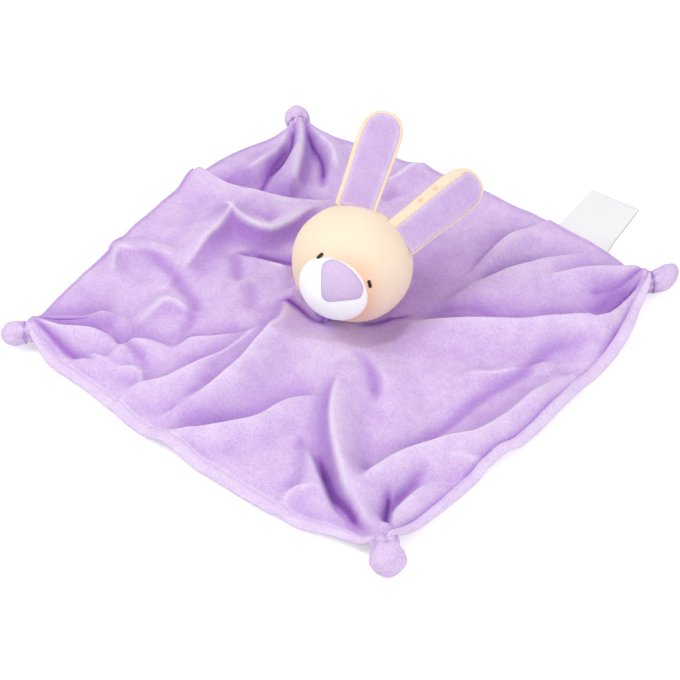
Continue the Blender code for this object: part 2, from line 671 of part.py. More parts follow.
# Ears: a cream back that ends in a rolled root, a lilac lining and a thin pad of fibre between them
def ear_width(share):
    """Half the ear's width along its length: narrow root, fuller middle and round tip."""
    full = EAR_BASE_SHARE + (1 - EAR_BASE_SHARE) * math.sin(math.pi * min(share, 1) * EAR_FULLNESS_SHARE)
    tip = max(share - EAR_TIP_SHARE, 0) / (1 - EAR_TIP_SHARE)
    return EAR_HALF_WIDTH * full * math.sqrt(1 - EAR_TIP_ROUND_SHARE * tip ** 2)


def ear_layer(name, start, end, rim, side, look):
    """Build one crowned layer of an ear between two heights, inset from the rim, and thicken it outward."""
    bm = bmesh.new()
    bmesh.ops.create_grid(bm, x_segments=EAR_COLUMNS, y_segments=EAR_ROWS, size=1)
    for vert in bm.verts:
        across = vert.co.x
        height = start + (end - start) * (vert.co.y + 1) / 2
        share = height / EAR_LENGTH
        crown = (1 - across ** 2) * math.sin(math.pi * min(max(share, 0), 1)) ** EAR_CROWN_POWER
        depth = side * (CLEARANCE / 2 + EAR_SWELL * crown)
        vert.co = (across * (ear_width(share) - rim), depth, height)
    item = mesh_object(name, bm, look)
    return solidify(item, EAR_COVER_THICKNESS, -side)


for side, frame in EAR_FRAMES.items():
    ear_pivot = pivot(f"ear_{side}_pivot", frame, head_pivot)
    ear_back = ear_layer(f"ear_{side}_back", 0, EAR_LENGTH, 0, 1, "cream_velour")
    carried(ear_back, ear_pivot)
    root = as_cutter(bar(f"ear_{side}_rolled_root", EAR_ROOT_RADIUS, EAR_ROOT_HALF, None, CUTTERS))
    carried(root, ear_pivot)
    boolean(ear_back, root, "UNION")
    lining_start = EAR_ROOT_RADIUS + CLEARANCE
    lining_end = EAR_LENGTH - EAR_RIM_WIDTH
    lining = ear_layer(f"ear_{side}_lining", lining_start, lining_end, EAR_RIM_WIDTH, -1, "pale_lilac_felt")
    carried(lining, ear_pivot)
    pad_half_width = EAR_HALF_WIDTH * EAR_PAD_WIDTH_SHARE
    pad_half_length = EAR_LENGTH * EAR_PAD_LENGTH_SHARE
    pad_radii = (pad_half_width, EAR_SWELL - CLEARANCE - CLEARANCE, pad_half_length)
    wadding = ellipsoid(f"ear_{side}_wadding", pad_radii, "fibre_fill", None, 16, 12)
    carried(wadding, ear_pivot, Matrix.Translation((0, 0, EAR_LENGTH / 2)))

# Corner knots: a flared end that meets the blanket, a bound neck and a rounded knot, each knot of its own size
KNOT_HEIGHT = KNOT_RADIUS + CLEARANCE


def knot_profile(radius, length):
    """Points of radius and height from the flared end of a knot to its tip."""
    start = KNOT_FLARE_LENGTH + KNOT_WAIST_LENGTH
    first_angle = math.asin(KNOT_NECK_RADIUS / radius)
    points = [(0, 0), (KNOT_FLARE_RADIUS, 0), (KNOT_NECK_RADIUS, KNOT_FLARE_LENGTH)]
    for step in range(KNOT_STEPS):
        angle = first_angle + (math.pi - first_angle) * step / KNOT_STEPS
        bulge = length / 2 * (math.cos(first_angle) - math.cos(angle))
        points.append((radius * math.sin(angle), start + bulge))
    points.append((0, start + length / 2 * (math.cos(first_angle) + 1)))
    return points


for corner, (across, back) in CORNERS.items():
    outward = Vector((across, back, 0)).normalized()
    heading = math.atan2(back, across)
    end_face = outline_point(across, back).to_3d() + outward * CLEARANCE
    hinge = end_face + Vector((0, 0, KNOT_HEIGHT + KNOT_FLARE_RADIUS))
    hinge_frame = Matrix.Translation(hinge) @ Matrix.Rotation(heading, 4, "Z")
    knot_pivot = pivot(f"knot_{corner}_pivot", hinge_frame)
    lay_down = Matrix.Translation((0, 0, -KNOT_FLARE_RADIUS)) @ Matrix.Rotation(math.pi / 2, 4, "Y")
    width_share, length_share = KNOT_SIZE_SHARES[corner]
    profile = knot_profile(KNOT_RADIUS * width_share, KNOT_LENGTH * length_share)
    knot = revolve(f"knot_{corner}", profile, KNOT_SEGMENTS, "lilac_velour")
    carried(knot, knot_pivot, lay_down)
    binding_radius = KNOT_NECK_RADIUS + CLEARANCE + KNOT_THREAD_RADIUS
    binding = ring(f"knot_thread_{corner}", binding_radius, KNOT_THREAD_RADIUS, "lilac_thread", 16, 6)
    seat = KNOT_FLARE_LENGTH + KNOT_WAIST_LENGTH / 2
    carried(binding, knot_pivot, lay_down @ Matrix.Translation((0, 0, seat)))

# Label: a satin ribbon folded double and sewn into the back edge
edge_share = LABEL_CENTRE_X / CORNER_REACH
edge_point = outline_point(edge_share, 1)
edge_run = outline_point(edge_share + LABEL_EDGE_SHARE, 1) - outline_point(edge_share - LABEL_EDGE_SHARE, 1)
edge_turn = Matrix.Rotation(math.atan2(edge_run.y, edge_run.x), 4, "Z")


def edge_sag():
    """Distance that the bowed edge stands out past the label's straight root."""
    half_share = LABEL_WIDTH / 2 / CORNER_REACH
    sags = []
    for step in range(-LABEL_CELLS, LABEL_CELLS + 1):
        place = outline_point(edge_share + half_share * step / LABEL_CELLS, 1) - edge_point
        sags.append((edge_turn.to_3x3().inverted() @ place.to_3d()).y)
    return max(sags)


def label_path(share):
    """Point on the folded strip, from the root along one ply, round the fold and back."""
    ply_run = LABEL_LENGTH - LABEL_FOLD_RADIUS
    if share > 1 - LABEL_FOLD_SHARE:
        angle = math.pi / 2 * (share - 1 + LABEL_FOLD_SHARE) / LABEL_FOLD_SHARE
        return ply_run + LABEL_FOLD_RADIUS * math.sin(angle), LABEL_FOLD_RADIUS * math.cos(angle)
    return ply_run * share / (1 - LABEL_FOLD_SHARE), LABEL_FOLD_RADIUS


LABEL_SEAT = CLEARANCE + LABEL_FOLD_RADIUS + LABEL_PLY / 2
bm = bmesh.new()
bmesh.ops.create_grid(bm, x_segments=2, y_segments=LABEL_CELLS * 4, size=1)
for vert in bm.verts:
    reach, rise = label_path(1 - abs(vert.co.y))
    vert.co = (vert.co.x * LABEL_WIDTH / 2, reach, math.copysign(rise, vert.co.y))
label_ribbon = mesh_object("label_ribbon", bm, "white_satin")
solidify(label_ribbon, LABEL_PLY, 0)
label_root = edge_turn @ Vector((0, edge_sag() + LABEL_SEAT, 0))
label_height = LAYER_THICKNESS + LAYER_GAP / 2 + fold_height(edge_point)
label_point = Vector((edge_point.x + label_root.x, edge_point.y + label_root.y, label_height))
label_pivot = pivot("label_pivot", Matrix.Translation(label_point) @ edge_turn)
carried(label_ribbon, label_pivot, Matrix.Rotation(LABEL_RISE, 4, "X"))

# Report the joints' places and axes
bpy.context.view_layer.update()
for item in PART.objects:
    if item.type == "EMPTY":
        place = [round(value, 5) for value in item.matrix_world.to_translation()]
        turn = item.matrix_world.to_3x3()
        axes = [[round(value, 4) for value in turn.col[number]] for number in range(3)]
        print(item.name, place, axes)
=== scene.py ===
# %% [markdown]
# # A comfort blanket with a rabbit's head
# This lesson dresses a imported model of a lilac velour comfort blanket. The model is already in metres, with
# the underside of the blanket on the floor at z = 0, so every new piece is made right where the real one is.
# We start by loading that model as a fixed frame.

# %% Load the imported model
import math

import bpy
import numpy as np
from mathutils import Matrix, Vector


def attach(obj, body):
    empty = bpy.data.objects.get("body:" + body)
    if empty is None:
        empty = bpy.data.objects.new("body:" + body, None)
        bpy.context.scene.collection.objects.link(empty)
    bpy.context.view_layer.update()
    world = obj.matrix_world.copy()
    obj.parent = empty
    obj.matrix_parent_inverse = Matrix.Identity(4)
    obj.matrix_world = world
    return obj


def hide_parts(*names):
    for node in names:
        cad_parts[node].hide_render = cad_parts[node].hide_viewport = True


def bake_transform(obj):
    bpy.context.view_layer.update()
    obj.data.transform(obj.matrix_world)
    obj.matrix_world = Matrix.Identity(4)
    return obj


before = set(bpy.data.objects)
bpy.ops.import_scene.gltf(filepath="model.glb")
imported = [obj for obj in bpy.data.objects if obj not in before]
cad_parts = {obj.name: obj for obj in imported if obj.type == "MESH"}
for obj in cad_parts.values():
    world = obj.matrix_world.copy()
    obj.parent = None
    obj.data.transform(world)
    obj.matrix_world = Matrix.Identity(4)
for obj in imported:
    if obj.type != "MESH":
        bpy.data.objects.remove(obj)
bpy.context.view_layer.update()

MM = 0.001

# %% [markdown]
# ## The camera
# The photograph was taken with a fairly long lens from above one corner. A camera was fitted to the four
# knots, so here it only has to be put in its place. Its three axes are the columns of its rotation.

# %% Put the camera in place
EYE = Vector((0.4406, -0.5610, 0.6221))
VIEW_AXES = ((0.7869, -0.4129, 0.4586), (0.6171, 0.5265, -0.5848), (0.0, 0.7431, 0.6691))
lens = bpy.data.cameras.new("camera")
lens.sensor_width = 36
lens.lens = 90
lens.clip_start = 0.01
camera = bpy.data.objects.new("camera", lens)
bpy.context.scene.collection.objects.link(camera)
camera.matrix_world = Matrix.Translation(EYE) @ Matrix(VIEW_AXES).to_4x4()
bpy.context.scene.camera = camera
bpy.context.scene.view_settings.view_transform = "Standard"
print("camera is", round(EYE.length, 3), "m from the middle of the blanket")

# %% [markdown]
# ## Reckoning with sockets
# A material is a chain of nodes. Writing each node by hand is slow to read, so a small class wraps one output
# socket and lets Python's own operators add the Math nodes. Anything else, such as a noise or a mix of two
# colours, comes from one method that takes the node's type, its settings and the values of its sockets.

# %% A wrapper for sockets
class Wire:
    """One output of a node, with operators that add Math nodes behind it."""

    def __init__(self, nodes, socket):
        self.nodes = nodes
        self.socket = socket

    def reckon(self, operation, *values):
        return self.nodes.node("ShaderNodeMath", {"operation": operation}, dict(enumerate(values)))

    def __add__(self, other):
        return self.reckon("ADD", self, other)

    def __sub__(self, other):
        return self.reckon("SUBTRACT", self, other)

    def __rsub__(self, other):
        return self.reckon("SUBTRACT", other, self)

    def __mul__(self, other):
        return self.reckon("MULTIPLY", self, other)

    __radd__ = __add__

    def clipped(self):
        """Keep a number between 0 and 1."""
        return self.nodes.node("ShaderNodeClamp", {}, {0: self})


class Nodes:
    """A tree of nodes that leads to one shader."""

    def __init__(self, tree, shader):
        self.tree = tree
        self.shader = tree.nodes[shader]

    def node(self, kind, settings=None, values=None, output=0):
        """Add any node: its settings first, then the values or links of its sockets."""
        made = self.tree.nodes.new(kind)
        for name, value in (settings or {}).items():
            setattr(made, name, value)
        for name, value in (values or {}).items():
            self.plug(made.inputs[name], value)
        return Wire(self, made.outputs[output])

    def plug(self, socket, value):
        """Give a socket a wire or a plain value."""
        if isinstance(value, Wire):
            self.tree.links.new(value.socket, socket)
        elif isinstance(value, tuple) and socket.type == "RGBA":
            socket.default_value = (*value, 1)
        else:
            socket.default_value = value

    def feed(self, **values):
        """Feed sockets of the shader."""
        for words, value in values.items():
            self.plug(self.shader.inputs[words.replace("_", " ")], value)


class Finish(Nodes):
    """A material, with the kinds of node that the finishes below share."""

    def __init__(self, name, **values):
        self.material = bpy.data.materials.new(name)
        self.material.use_nodes = True
        super().__init__(self.material.node_tree, "Principled BSDF")
        self.feed(**values)

    def place(self):
        """Where a point lies on the piece, in metres."""
        return self.node("ShaderNodeTexCoord", output="Object")

    def noise(self, millimetres, detail=2.0, roughness=0.5):
        """Random lumps of about the given size, from 0 to 1."""
        values = {"Vector": self.place(), "Scale": 1 / (millimetres * MM), "Detail": detail,
                  "Roughness": roughness}
        return self.node("ShaderNodeTexNoise", {}, values)

    def stripes(self, direction, scale, distortion):
        """Narrow bands of thread, from 0 to 1."""
        return self.node("ShaderNodeTexWave", {"wave_type": "BANDS", "bands_direction": direction},
                         {"Vector": self.place(), "Scale": scale, "Distortion": distortion})

    def mixed(self, factor, first, second):
        """Mix two colours."""
        return self.node("ShaderNodeMix", {"data_type": "RGBA"}, {0: factor, 6: first, 7: second}, output=2)

    def painted(self, name):
        """A number kept at each point of the mesh."""
        return self.node("ShaderNodeAttribute", {"attribute_name": name}, output="Fac")

    def bumped(self, height, millimetres, **under):
        """Turn a height from 0 to 1 into a bent normal, on top of another where there is one."""
        values = {"Height": height, "Distance": millimetres * MM, "Strength": 1.0, **under}
        return self.node("ShaderNodeBump", {}, values)


def tone(red, green, blue):
    """A colour picked on a screen, as the linear light that Blender reckons with."""
    shares = [value / 255 for value in (red, green, blue)]
    return tuple(share / 12.92 if share <= 0.04045 else ((share + 0.055) / 1.055) ** 2.4 for share in shares)


print("white is", tone(255, 255, 255))

# %% [markdown]
# ## Helpers for meshes
# Most pieces are surfaces that follow a rule, so they are easiest to make from a table of points and a table
# of faces. A table of rows and columns joins up into quads, closed round or open as the piece needs.

# %% Turn tables of points into smooth pieces
def piece(name, points, faces, finish, painted_shade=None, painted_highlight=None):
    """A smooth mesh from points and faces, with optional painted shade and painted highlight numbers at each
    point.
    """
    mesh = bpy.data.meshes.new(name)
    mesh.from_pydata([tuple(point) for point in points], [], [tuple(face) for face in faces])
    mesh.validate()
    mesh.shade_smooth()
    mesh.materials.append(finish)
    for kind, values in (("painted_shade", painted_shade), ("painted_highlight", painted_highlight)):
        if values is not None:
            kept = mesh.attributes.new(kind, "FLOAT", "POINT")
            kept.data.foreach_set("value", np.asarray(values, dtype=np.float32))
    item = bpy.data.objects.new(name, mesh)
    bpy.context.scene.collection.objects.link(item)
    return item


def quads(rows, columns, closed=False):
    """Faces that join a table of rows by columns; closed joins the last column to the first."""
    faces = []
    for row in range(rows - 1):
        for column in range(columns if closed else columns - 1):
            beside = (column + 1) % columns
            faces.append((row * columns + column, row * columns + beside,
                          (row + 1) * columns + beside, (row + 1) * columns + column))
    return faces


def eased(share):
    """A smooth step from 0 to 1."""
    share = np.clip(share, 0, 1)
    return share * share * (3 - 2 * share)


def tilted(degrees, axis):
    """A rotation about one axis."""
    return Matrix.Rotation(math.radians(degrees), 4, axis)


def sizes_of(vectors):
    """The length of each row."""
    return np.linalg.norm(vectors, axis=1)


def falloff(away, width, power=2):
    """A value that is 1 at a line and fades over the given width."""
    return np.exp(-(away / width) ** power)


def ripples(points, longest, shortest, seed, waves=36):
    """A gentle random surface, made of many waves in random directions."""
    chance = np.random.default_rng(seed)
    total = np.zeros(len(points))
    for _ in range(waves):
        turn, phase = chance.uniform(0, math.tau, 2)
        length = shortest * (longest / shortest) ** chance.uniform()
        along = points[:, 0] * math.cos(turn) + points[:, 1] * math.sin(turn)
        total += np.cos(along * math.tau / length + phase)
    return total * math.sqrt(2 / waves)


def through(points, step):
    """A smooth line through the given points, with a point about every step."""
    points = np.asarray(points, float)
    points = np.pad(points, ((0, 0), (0, 3 - points.shape[1])))
    ends = np.vstack([2 * points[0] - points[1], points, 2 * points[-1] - points[-2]])
    line = []
    for before, start, end, after in zip(ends, ends[1:], ends[2:], ends[3:]):
        count = max(int(np.linalg.norm((end - start)[:2]) / step), 1)
        for t in np.arange(count) / count:
            line.append(0.5 * (2 * start + (end - before) * t
                               + (2 * before - 5 * start + 4 * end - after) * t * t
                               + (3 * start - before - 3 * end + after) * t ** 3))
    return np.vstack([line, points[-1:]])


def beside(points, line):
    """For each point: distance to a line, the value kept there, the share of its length and its side."""
    nearest = np.full(len(points), np.inf)
    value, share, side = np.zeros((3, len(points)))
    for number, (start, end) in enumerate(zip(line, line[1:])):
        run = end[:2] - start[:2]
        offset = points - start[:2]
        t = np.clip((offset @ run) / max(run @ run, 1e-9), 0, 1)
        away = sizes_of(offset - t[:, None] * run)
        closer = away < nearest
        side[closer] = (run[0] * offset[:, 1] - run[1] * offset[:, 0])[closer]
        nearest[closer] = away[closer]
        value[closer] = (start[2] + (end[2] - start[2]) * t)[closer]
        share[closer] = ((number + t) / (len(line) - 1))[closer]
    return nearest, value, share, np.sign(side)


print("a smooth line has", len(through([(0, 0, 0), (30, 0, 5), (60, 20, 0)], 3)), "points")

# %% [markdown]
# ## Floor and light
# The object lies on plain white, lit by wide soft lamps, so its shadows are faint. The world is white for the
# camera and dimmer for everything else. The floor is a pale plane that takes the blanket's soft shadow, and
# glows a little for the camera alone, so that it comes out white without more light on the cloth.

# %% White floor, white world and soft lamps
AMBIENT = 0.72
FLOOR_GLOW = 0.42
FLOOR_HALF, FLOOR_LEVEL = 6, -0.0002
WHITE_RAYS = ("Camera", "Glossy", "Transmission")       # rays that see the world undimmed
MIDDLE = Vector((0, 0, 0.01))

paper = Finish("white_paper", Roughness=0.95, Base_Color=(0.86, 0.86, 0.86), Emission_Color=(1.0, 1.0, 1.0))
paper.feed(Emission_Strength=paper.node("ShaderNodeLightPath", output="Is Camera Ray") * FLOOR_GLOW)
floor_corners = [(x, y, FLOOR_LEVEL) for y in (-FLOOR_HALF, FLOOR_HALF) for x in (-FLOOR_HALF, FLOOR_HALF)]
floor = piece("floor", floor_corners, quads(2, 2), paper.material)

world = bpy.data.worlds.new("white_room")
bpy.context.scene.world = world
world.use_nodes = True
sky = Nodes(world.node_tree, "Background")
undimmed = sum(sky.node("ShaderNodeLightPath", output=f"Is {ray} Ray") for ray in WHITE_RAYS)
sky.feed(Color=(1, 1, 1), Strength=undimmed.clipped() * (1 - AMBIENT) + AMBIENT)

LAMPS = {"key_lamp": ((-0.5, -0.5, 1.1), 0.5, 6.4), "side_lamp": ((1.05, -0.3, 0.75), 0.8, 5.0)}
for name, (spot, width, watts) in LAMPS.items():
    light = bpy.data.lights.new(name, "AREA")
    light.shape = "SQUARE"
    light.size = width
    light.energy = watts
    lamp = bpy.data.objects.new(name, light)
    bpy.context.scene.collection.objects.link(lamp)
    lamp.location = spot
    lamp.rotation_euler = (MIDDLE - Vector(spot)).to_track_quat("-Z", "Y").to_euler()

# %% [markdown]
# ## Velour
# Velour is a knit with a short dense pile. Its pile leans this way and that, which leaves soft lighter and
# darker patches, it glows at its edges, and deep creases turn a stronger colour because light bounces from pile
# to pile. So the finish mixes three tones: patches from slow noise, fine pile grain from quick noise, and
# painted shade from a number that is kept at each point of the mesh, which darkens creases, hollows and the
# shaded sides of folds. A second number kept at each point paints highlights, which lighten crests and pale
# pile towards white.

# %% The velour finish
def velour(name, deep, middle, light, sheen=0.35, bumps=(0.12, 0.35)):
    """Short pile in three tones, with grain and patches, painted shade and painted highlights."""
    cloth = Finish(name, Roughness=0.95, Sheen_Weight=sheen, Sheen_Roughness=0.45, Sheen_Tint=light,
                   Specular_IOR_Level=0.15)
    patches = cloth.noise(9, detail=3, roughness=0.6)
    grain = cloth.noise(1.3, detail=3, roughness=0.7)
    pile = cloth.noise(0.35, detail=2)
    brushed = (patches - 0.5) * 1.1 + (grain - 0.5) * 1.7 + (pile - 0.5) * 0.9 + 0.55
    colour = cloth.mixed(brushed.clipped(), middle, light)
    # painted shade: creases, hollows and shaded sides of folds are mixed towards the shade tone
    painted_shade = cloth.painted("painted_shade")
    colour = cloth.mixed((painted_shade * (1.15 - grain * 0.3)).clipped(), colour, deep)
    # more painted shade, twice as dark, in the cores of the deepest creases
    colour = cloth.mixed(((painted_shade - 0.82) * 4).clipped(), colour, tuple(share * 0.5 for share in deep))
    # painted highlight: crests and pale pile are mixed towards near white
    painted_highlight = cloth.painted("painted_highlight") * (0.55 + grain * 0.9)
    colour = cloth.mixed((painted_highlight * 0.6).clipped(), colour, tuple(0.3 * share + 0.7 for share in light))
    cloth.feed(Base_Color=colour)
    cloth.feed(Normal=cloth.bumped(pile, bumps[0], Normal=cloth.bumped(grain, bumps[1])))
    return cloth.material


# the first tone of each velour is the colour of its painted shade
LILAC_SHADE = tone(156, 100, 196)
SMOOTH = {"sheen": 0.2, "bumps": (0.1, 0.16)}
lilac_velour = velour("lilac_velour_pile", LILAC_SHADE, tone(196, 162, 221), tone(222, 202, 232))
cream_velour = velour("cream_velour_pile", tone(238, 158, 114), tone(241, 220, 194), tone(245, 227, 205),
                      **SMOOTH)
white_velour = velour("white_velour_pile", tone(226, 222, 224), tone(249, 254, 249), tone(253, 253, 253),
                      **SMOOTH)
nose_velour = velour("nose_velour_pile", tone(150, 105, 200), tone(202, 180, 218), tone(216, 198, 227))
ear_velour = velour("ear_velour_pile", LILAC_SHADE, tone(189, 157, 215), tone(206, 184, 218))
print("velours:", [finish.name for finish in bpy.data.materials if "velour" in finish.name])

# %% [markdown]
# ## The folds of the blanket
# Two layers of velour lie loosely on each other, so the blanket is puffy. It is drawn together at its knots
# and at the rabbit's neck, and rolls of cloth run between them. Cloth like this shows two things: rounded
# rolls, and narrow creases where two rolls meet. A simulation would drop its folds anywhere, so here each
# roll is a smooth line with a width and a height along it, and each crease a line with a width and a depth.
# Many rolls lean, so three more numbers say on which side of its line a roll is steep (1 is left, -1 right
# and 0 neither), how far its shade reaches there as a share of the width, and how strong the shade is. The
# lines are kept as text, which a small function reads: a name, its numbers, a colon, and then places across,
# back and up. All lengths in these tables are in millimetres.

# %% Rolls and creases
def read_lines(text):
    """Read a table of lines: a name, its numbers, a colon and the places along it."""
    lines = {}
    for entry in text.split(";"):
        facts, places = entry.split(":")
        name, *numbers = facts.split()
        lines[name] = (*map(float, numbers), np.array([place.split() for place in places.split(",")], float))
    return lines


# name, width, steep side, reach and strength of its shade: places across, back and up
ROLLS = read_lines("""
    right_long 14 1 1.6 1: 32 6 3, 45 13 4.5, 54 20 7, 66 26 9.5, 83 35 11, 100 49 11, 113 63 11,
        123 73 10, 126 79 9, 125 93 8, 126 111 7, 125 120 5;
    right_second 15 1 1.2 0.5: 50 56 5, 57 72 7, 64 82 8, 71 100 7, 83 118 4;
    right_third 10 1 1.3 0.6: 79 90 4, 89 102 6, 100 112 7, 112 122 6, 122 123 5;
    right_upper 13 1 1.2 0.6: 40 77 4, 42 95 6, 43 109 6, 47 128 3;
    front_long 13 -1 0.8 0.8: 34 -43 3, 46 -64 7, 57 -79 10, 69 -92 12, 82 -104 12, 97 -116 11,
        106 -121 9, 118 -124 7, 122 -125 6;
    front_arm 15 1 1.1 0.5: 96 -105 9, 95 -93 9, 97 -84 9, 101 -72 9, 108 -59 9, 115 -48 8, 121 -36 7,
        124 -15 6, 126 4 5, 129 23 4;
    front_side 11 1 1 0.6: 125 -121 6, 119 -108 6, 118 -92 5, 119 -80 3;
    front_curl 12 -1 0.9 0.6: 28 -24 2, 43 -27 3, 56 -33 3, 66 -45 2;
    front_small 9 1 1 0.6: 53 -97 3, 65 -105 5, 77 -114 5, 91 -123 4, 107 -127 3;
    left_long 15 -1 0.8 0.7: -26 -10 4, -16 -32 8, -11 -57 10, -7 -81 10, -9 -100 8, -13 -110 5;
    left_second 13 -1 0.8 0.7: -21 -41 4, -21 -62 7, -23 -79 8, -27 -94 8, -32 -106 7, -41 -116 5,
        -44 -124 3;
    left_third 9 1 1.6 0.8: -46 -82 4, -43 -76 6, -31 -63 6, -23 -48 4;
    left_low 11 1 1.5 0.9: -10 -135 4, 2 -127 6, 14 -114 7, 23 -102 7, 26 -84 5, 30 -72 4, 43 -63 3;
    left_hook 10 1 1.6 0.9: -70 -102 5, -67 -94 6, -57 -88 5, -49 -85 3;
    left_knot 10 1 1.7 1: -119 -123 6, -103 -113 7, -90 -103 7, -79 -100 5;
    left_knot_upper 12 1 1.5 0.9: -121 -116 5, -111 -105 5, -104 -98 6, -94 -88 6, -88 -84 4;
    back_arm 16 1 1 0.8: -104 30 4, -99 26 6.5, -97 15 7.5, -95 2 7, -92 -14 5.5, -88 -32 3.5;
    back_low 13 -1 1 0.9: -108 28 4.5, -100 24 7, -88 21 8, -78 21 8, -69 23 8, -66 33 7.5, -64 46 7,
        -58 60 5;
    head_left 11 0 1 0: -69 -1 5, -54 2 6, -40 2 6;
    back_long 13 1 2 0.9: -138 40 9, -124 38 10, -109 39 10, -97 41 10, -79 47 10, -65 56 8, -57 69 5;
    back_knot 10 1 0.9 0.9: -121 118 6, -104 95 9, -95 81 9, -87 67 8;
    back_knot_left 12 0 1 0: -125 107 4, -118 88 6, -118 75 6, -120 61 4;
    back_knot_right 12 0 1 0: -117 118 4, -96 113 6, -77 96 6;
    back_short 11 0 1 0: -47 104 5, -44 116 6, -41 130 6, -35 140 3;
    left_top 11 -1 1.2 0.5: -132 -39 4, -124 -36 5, -117 -31 5, -107 -28 4, -98 -26 3;
    left_top_edge 7 0 1 0: -131 -40 4, -125 -49 4, -118 -57 3;
    left_bend 7 -1 1.2 0.4: -76 -82 3, -77 -69 4, -76 -57 4, -65 -56 4, -58 -55 3;
    left_foot 6 1 1.5 0.4: -83 -121 2, -81 -118 4, -77 -115 4, -66 -112 3;
    left_foot_side 6 0 1 0: -60 -113 3, -54 -109 4, -48 -109 4, -41 -117 3;
    right_hem_fold 7 0 1 0: 134 -46 3, 128 -52 4, 121 -57 3.5, 115 -63 2;
    right_low 9 0 1 0: 88 -2 2, 99 6 3.5, 108 18 4, 116 30 3;
    front_lump 6 0 1 0: 71 -136 3, 69 -129 4, 70 -122 4, 76 -118 4, 87 -120 3;
    hem_curl 8 0 1 0: 120 -38 3, 123 -31 4, 128 -22 3
""")
# name, width, depth: places across and back
CREASES = read_lines("""
    above_right_long 3 3: 26 14, 40 30, 58 43, 75 52, 91 64, 105 78, 115 87, 116 99, 118 115;
    front_knot_deep 3 5: 121 -128, 114 -125, 109 -124, 104 -122, 97 -119, 86 -114, 78 -108, 71 -103,
        62 -96;
    front_knot_short 2.3 5: 127 -121, 121 -117, 116 -111, 111 -103, 106 -94;
    front_side 3 3.5: 121 -117, 113 -106, 112 -90, 113 -71;
    front_light 4 2: 47 -90, 57 -104, 64 -115, 68 -124;
    head_curve 3 3: 24 -24, 37 -26, 47 -32, 58 -43, 62 -49;
    above_front_arm 4 3: 89 -95, 97 -60, 101 -36, 103 -6, 110 16, 110 31, 113 42, 130 63;
    left_knot_upper 2.2 4.5: -127 -124, -117 -113, -112 -108, -103 -98, -96 -90;
    left_knot_lower 2.3 4: -122 -122, -111 -120, -102 -119, -85 -118, -73 -117;
    left_hook 3 2.5: -89 -88, -78 -95, -74 -97, -57 -99, -48 -104;
    left_top 4 2.5: -128 -36, -110 -32, -93 -36, -81 -40, -67 -45, -62 -51, -57 -60, -52 -74, -51 -79;
    left_third 3.5 3: -50 -78, -49 -70, -36 -57, -26 -44, -21 -38;
    left_second 4 2: -19 -51, -19 -75, -18 -92;
    left_low 4 2: -14 -131, -3 -121, 8 -108, 18 -97, 20 -92;
    back_left 3.6 4.5: -141 46, -130 47, -120 46, -110 48, -104 51, -106 60, -112 76, -116 96, -123 112;
    head_left_deep 4.4 5.2: -76 2, -68 3, -60 6, -53 8, -44 11;
    head_left_behind 5.5 4.4: -74 7, -66 9, -59 11, -50 14, -40 18, -32 22;
    hollow 4.5 2.5: -82 0, -74 -4, -67 -9, -58 -18;
    head_left_side 5 1.5: -78 2, -67 -9;
    head_foot 2.6 5: -31 -20, -26 -17, -17 -15, -6 -15, 3 -13, 10 -10;
    right_start 3.2 4.6: 14 -5, 20 1, 26 7, 31 12, 35 18, 39 24;
    head_left_low 5 1.5: -54 -12, -37 -32;
    back_knot_left 2.6 5: -126 116, -117 102, -113 95, -111 86, -110 75, -107 60;
    back_knot_right 2.6 5: -124 120, -114 114, -106 110, -96 104, -86 94, -77 81;
    back_short 3 2: -60 132, -46 137;
    back_short_low 3 2: -40 93, -38 108;
    right_of_head 3.5 3: 42 66, 38 80, 38 100, 39 114, 46 130;
    right_of_head_low 3.5 3: 48 60, 54 78, 60 90, 68 106, 83 118;
    right_side 2.4 3.5: 124 125, 116 115, 111 106, 106 101, 101 93;
    right_knot_deep 2.6 5: 125 116, 124 108, 123 99, 123 87, 122 77, 120 68
""")
print(len(ROLLS), "rolls and", len(CREASES), "creases")

# %% [markdown]
# ## Where the cloth lies
# Two rules give the blanket its form. The first bends a square into the real outline, whose sides bow out and
# draw in at the knots. The second gives the height of the cloth at any point. Rolls are joined by a rule that
# lies between adding and taking the larger, so a crease is left where they meet. Near the rabbit's head the
# cloth is kept low, so that the head can nod and twist without cutting into it.

# %% Outline and height of the cloth
HALF_WIDTH = 140.5
CORNER = 122.0
BOW_POWER = 5
PUFF = 4.4                              # top of the cloth where there is no fold
HEAD_MIDDLE = np.array((5.6, 4.4))
FACE_WAY = (0.41, -0.91)
HEAD_BALL = 33
HEAD_SINK = 2.6
HEAD_TWISTS = (-40, -20, 0, 20, 40)     # ways that the face points as the head twists, in degrees
HEAD_RUN, RUN_PER_DEGREE = 13, 0.2      # how far towards its face the head comes down as it nods
CLEAR_OF_HEAD = 25                      # creases are shallower within this of the head's middle
JOIN_POWER = 3                          # 1 would add rolls that meet, and a high power takes the larger
STEEP_WIDTH, SOFT_WIDTH = 0.7, 1.5      # shares of a roll's width on its two sides
FULL_ROLL, FULL_SHADE = 7.5, 7          # heights at which a crest and a shade have their full strength
SHADE_MOST = 0.85
CORNER_PULLS = {(-1, -1): (5.5, -2.0), (1, -1): (6.0, -5.5), (-1, 1): (-1.8, -5.3), (1, 1): (4.5, -2.5)}
CORNER_REACH = 12                       # how far a corner's lift reaches
CORNER_LIFTS = {(-1, -1): 9.0, (1, -1): 10.0, (-1, 1): 5.5, (1, 1): 9.0}
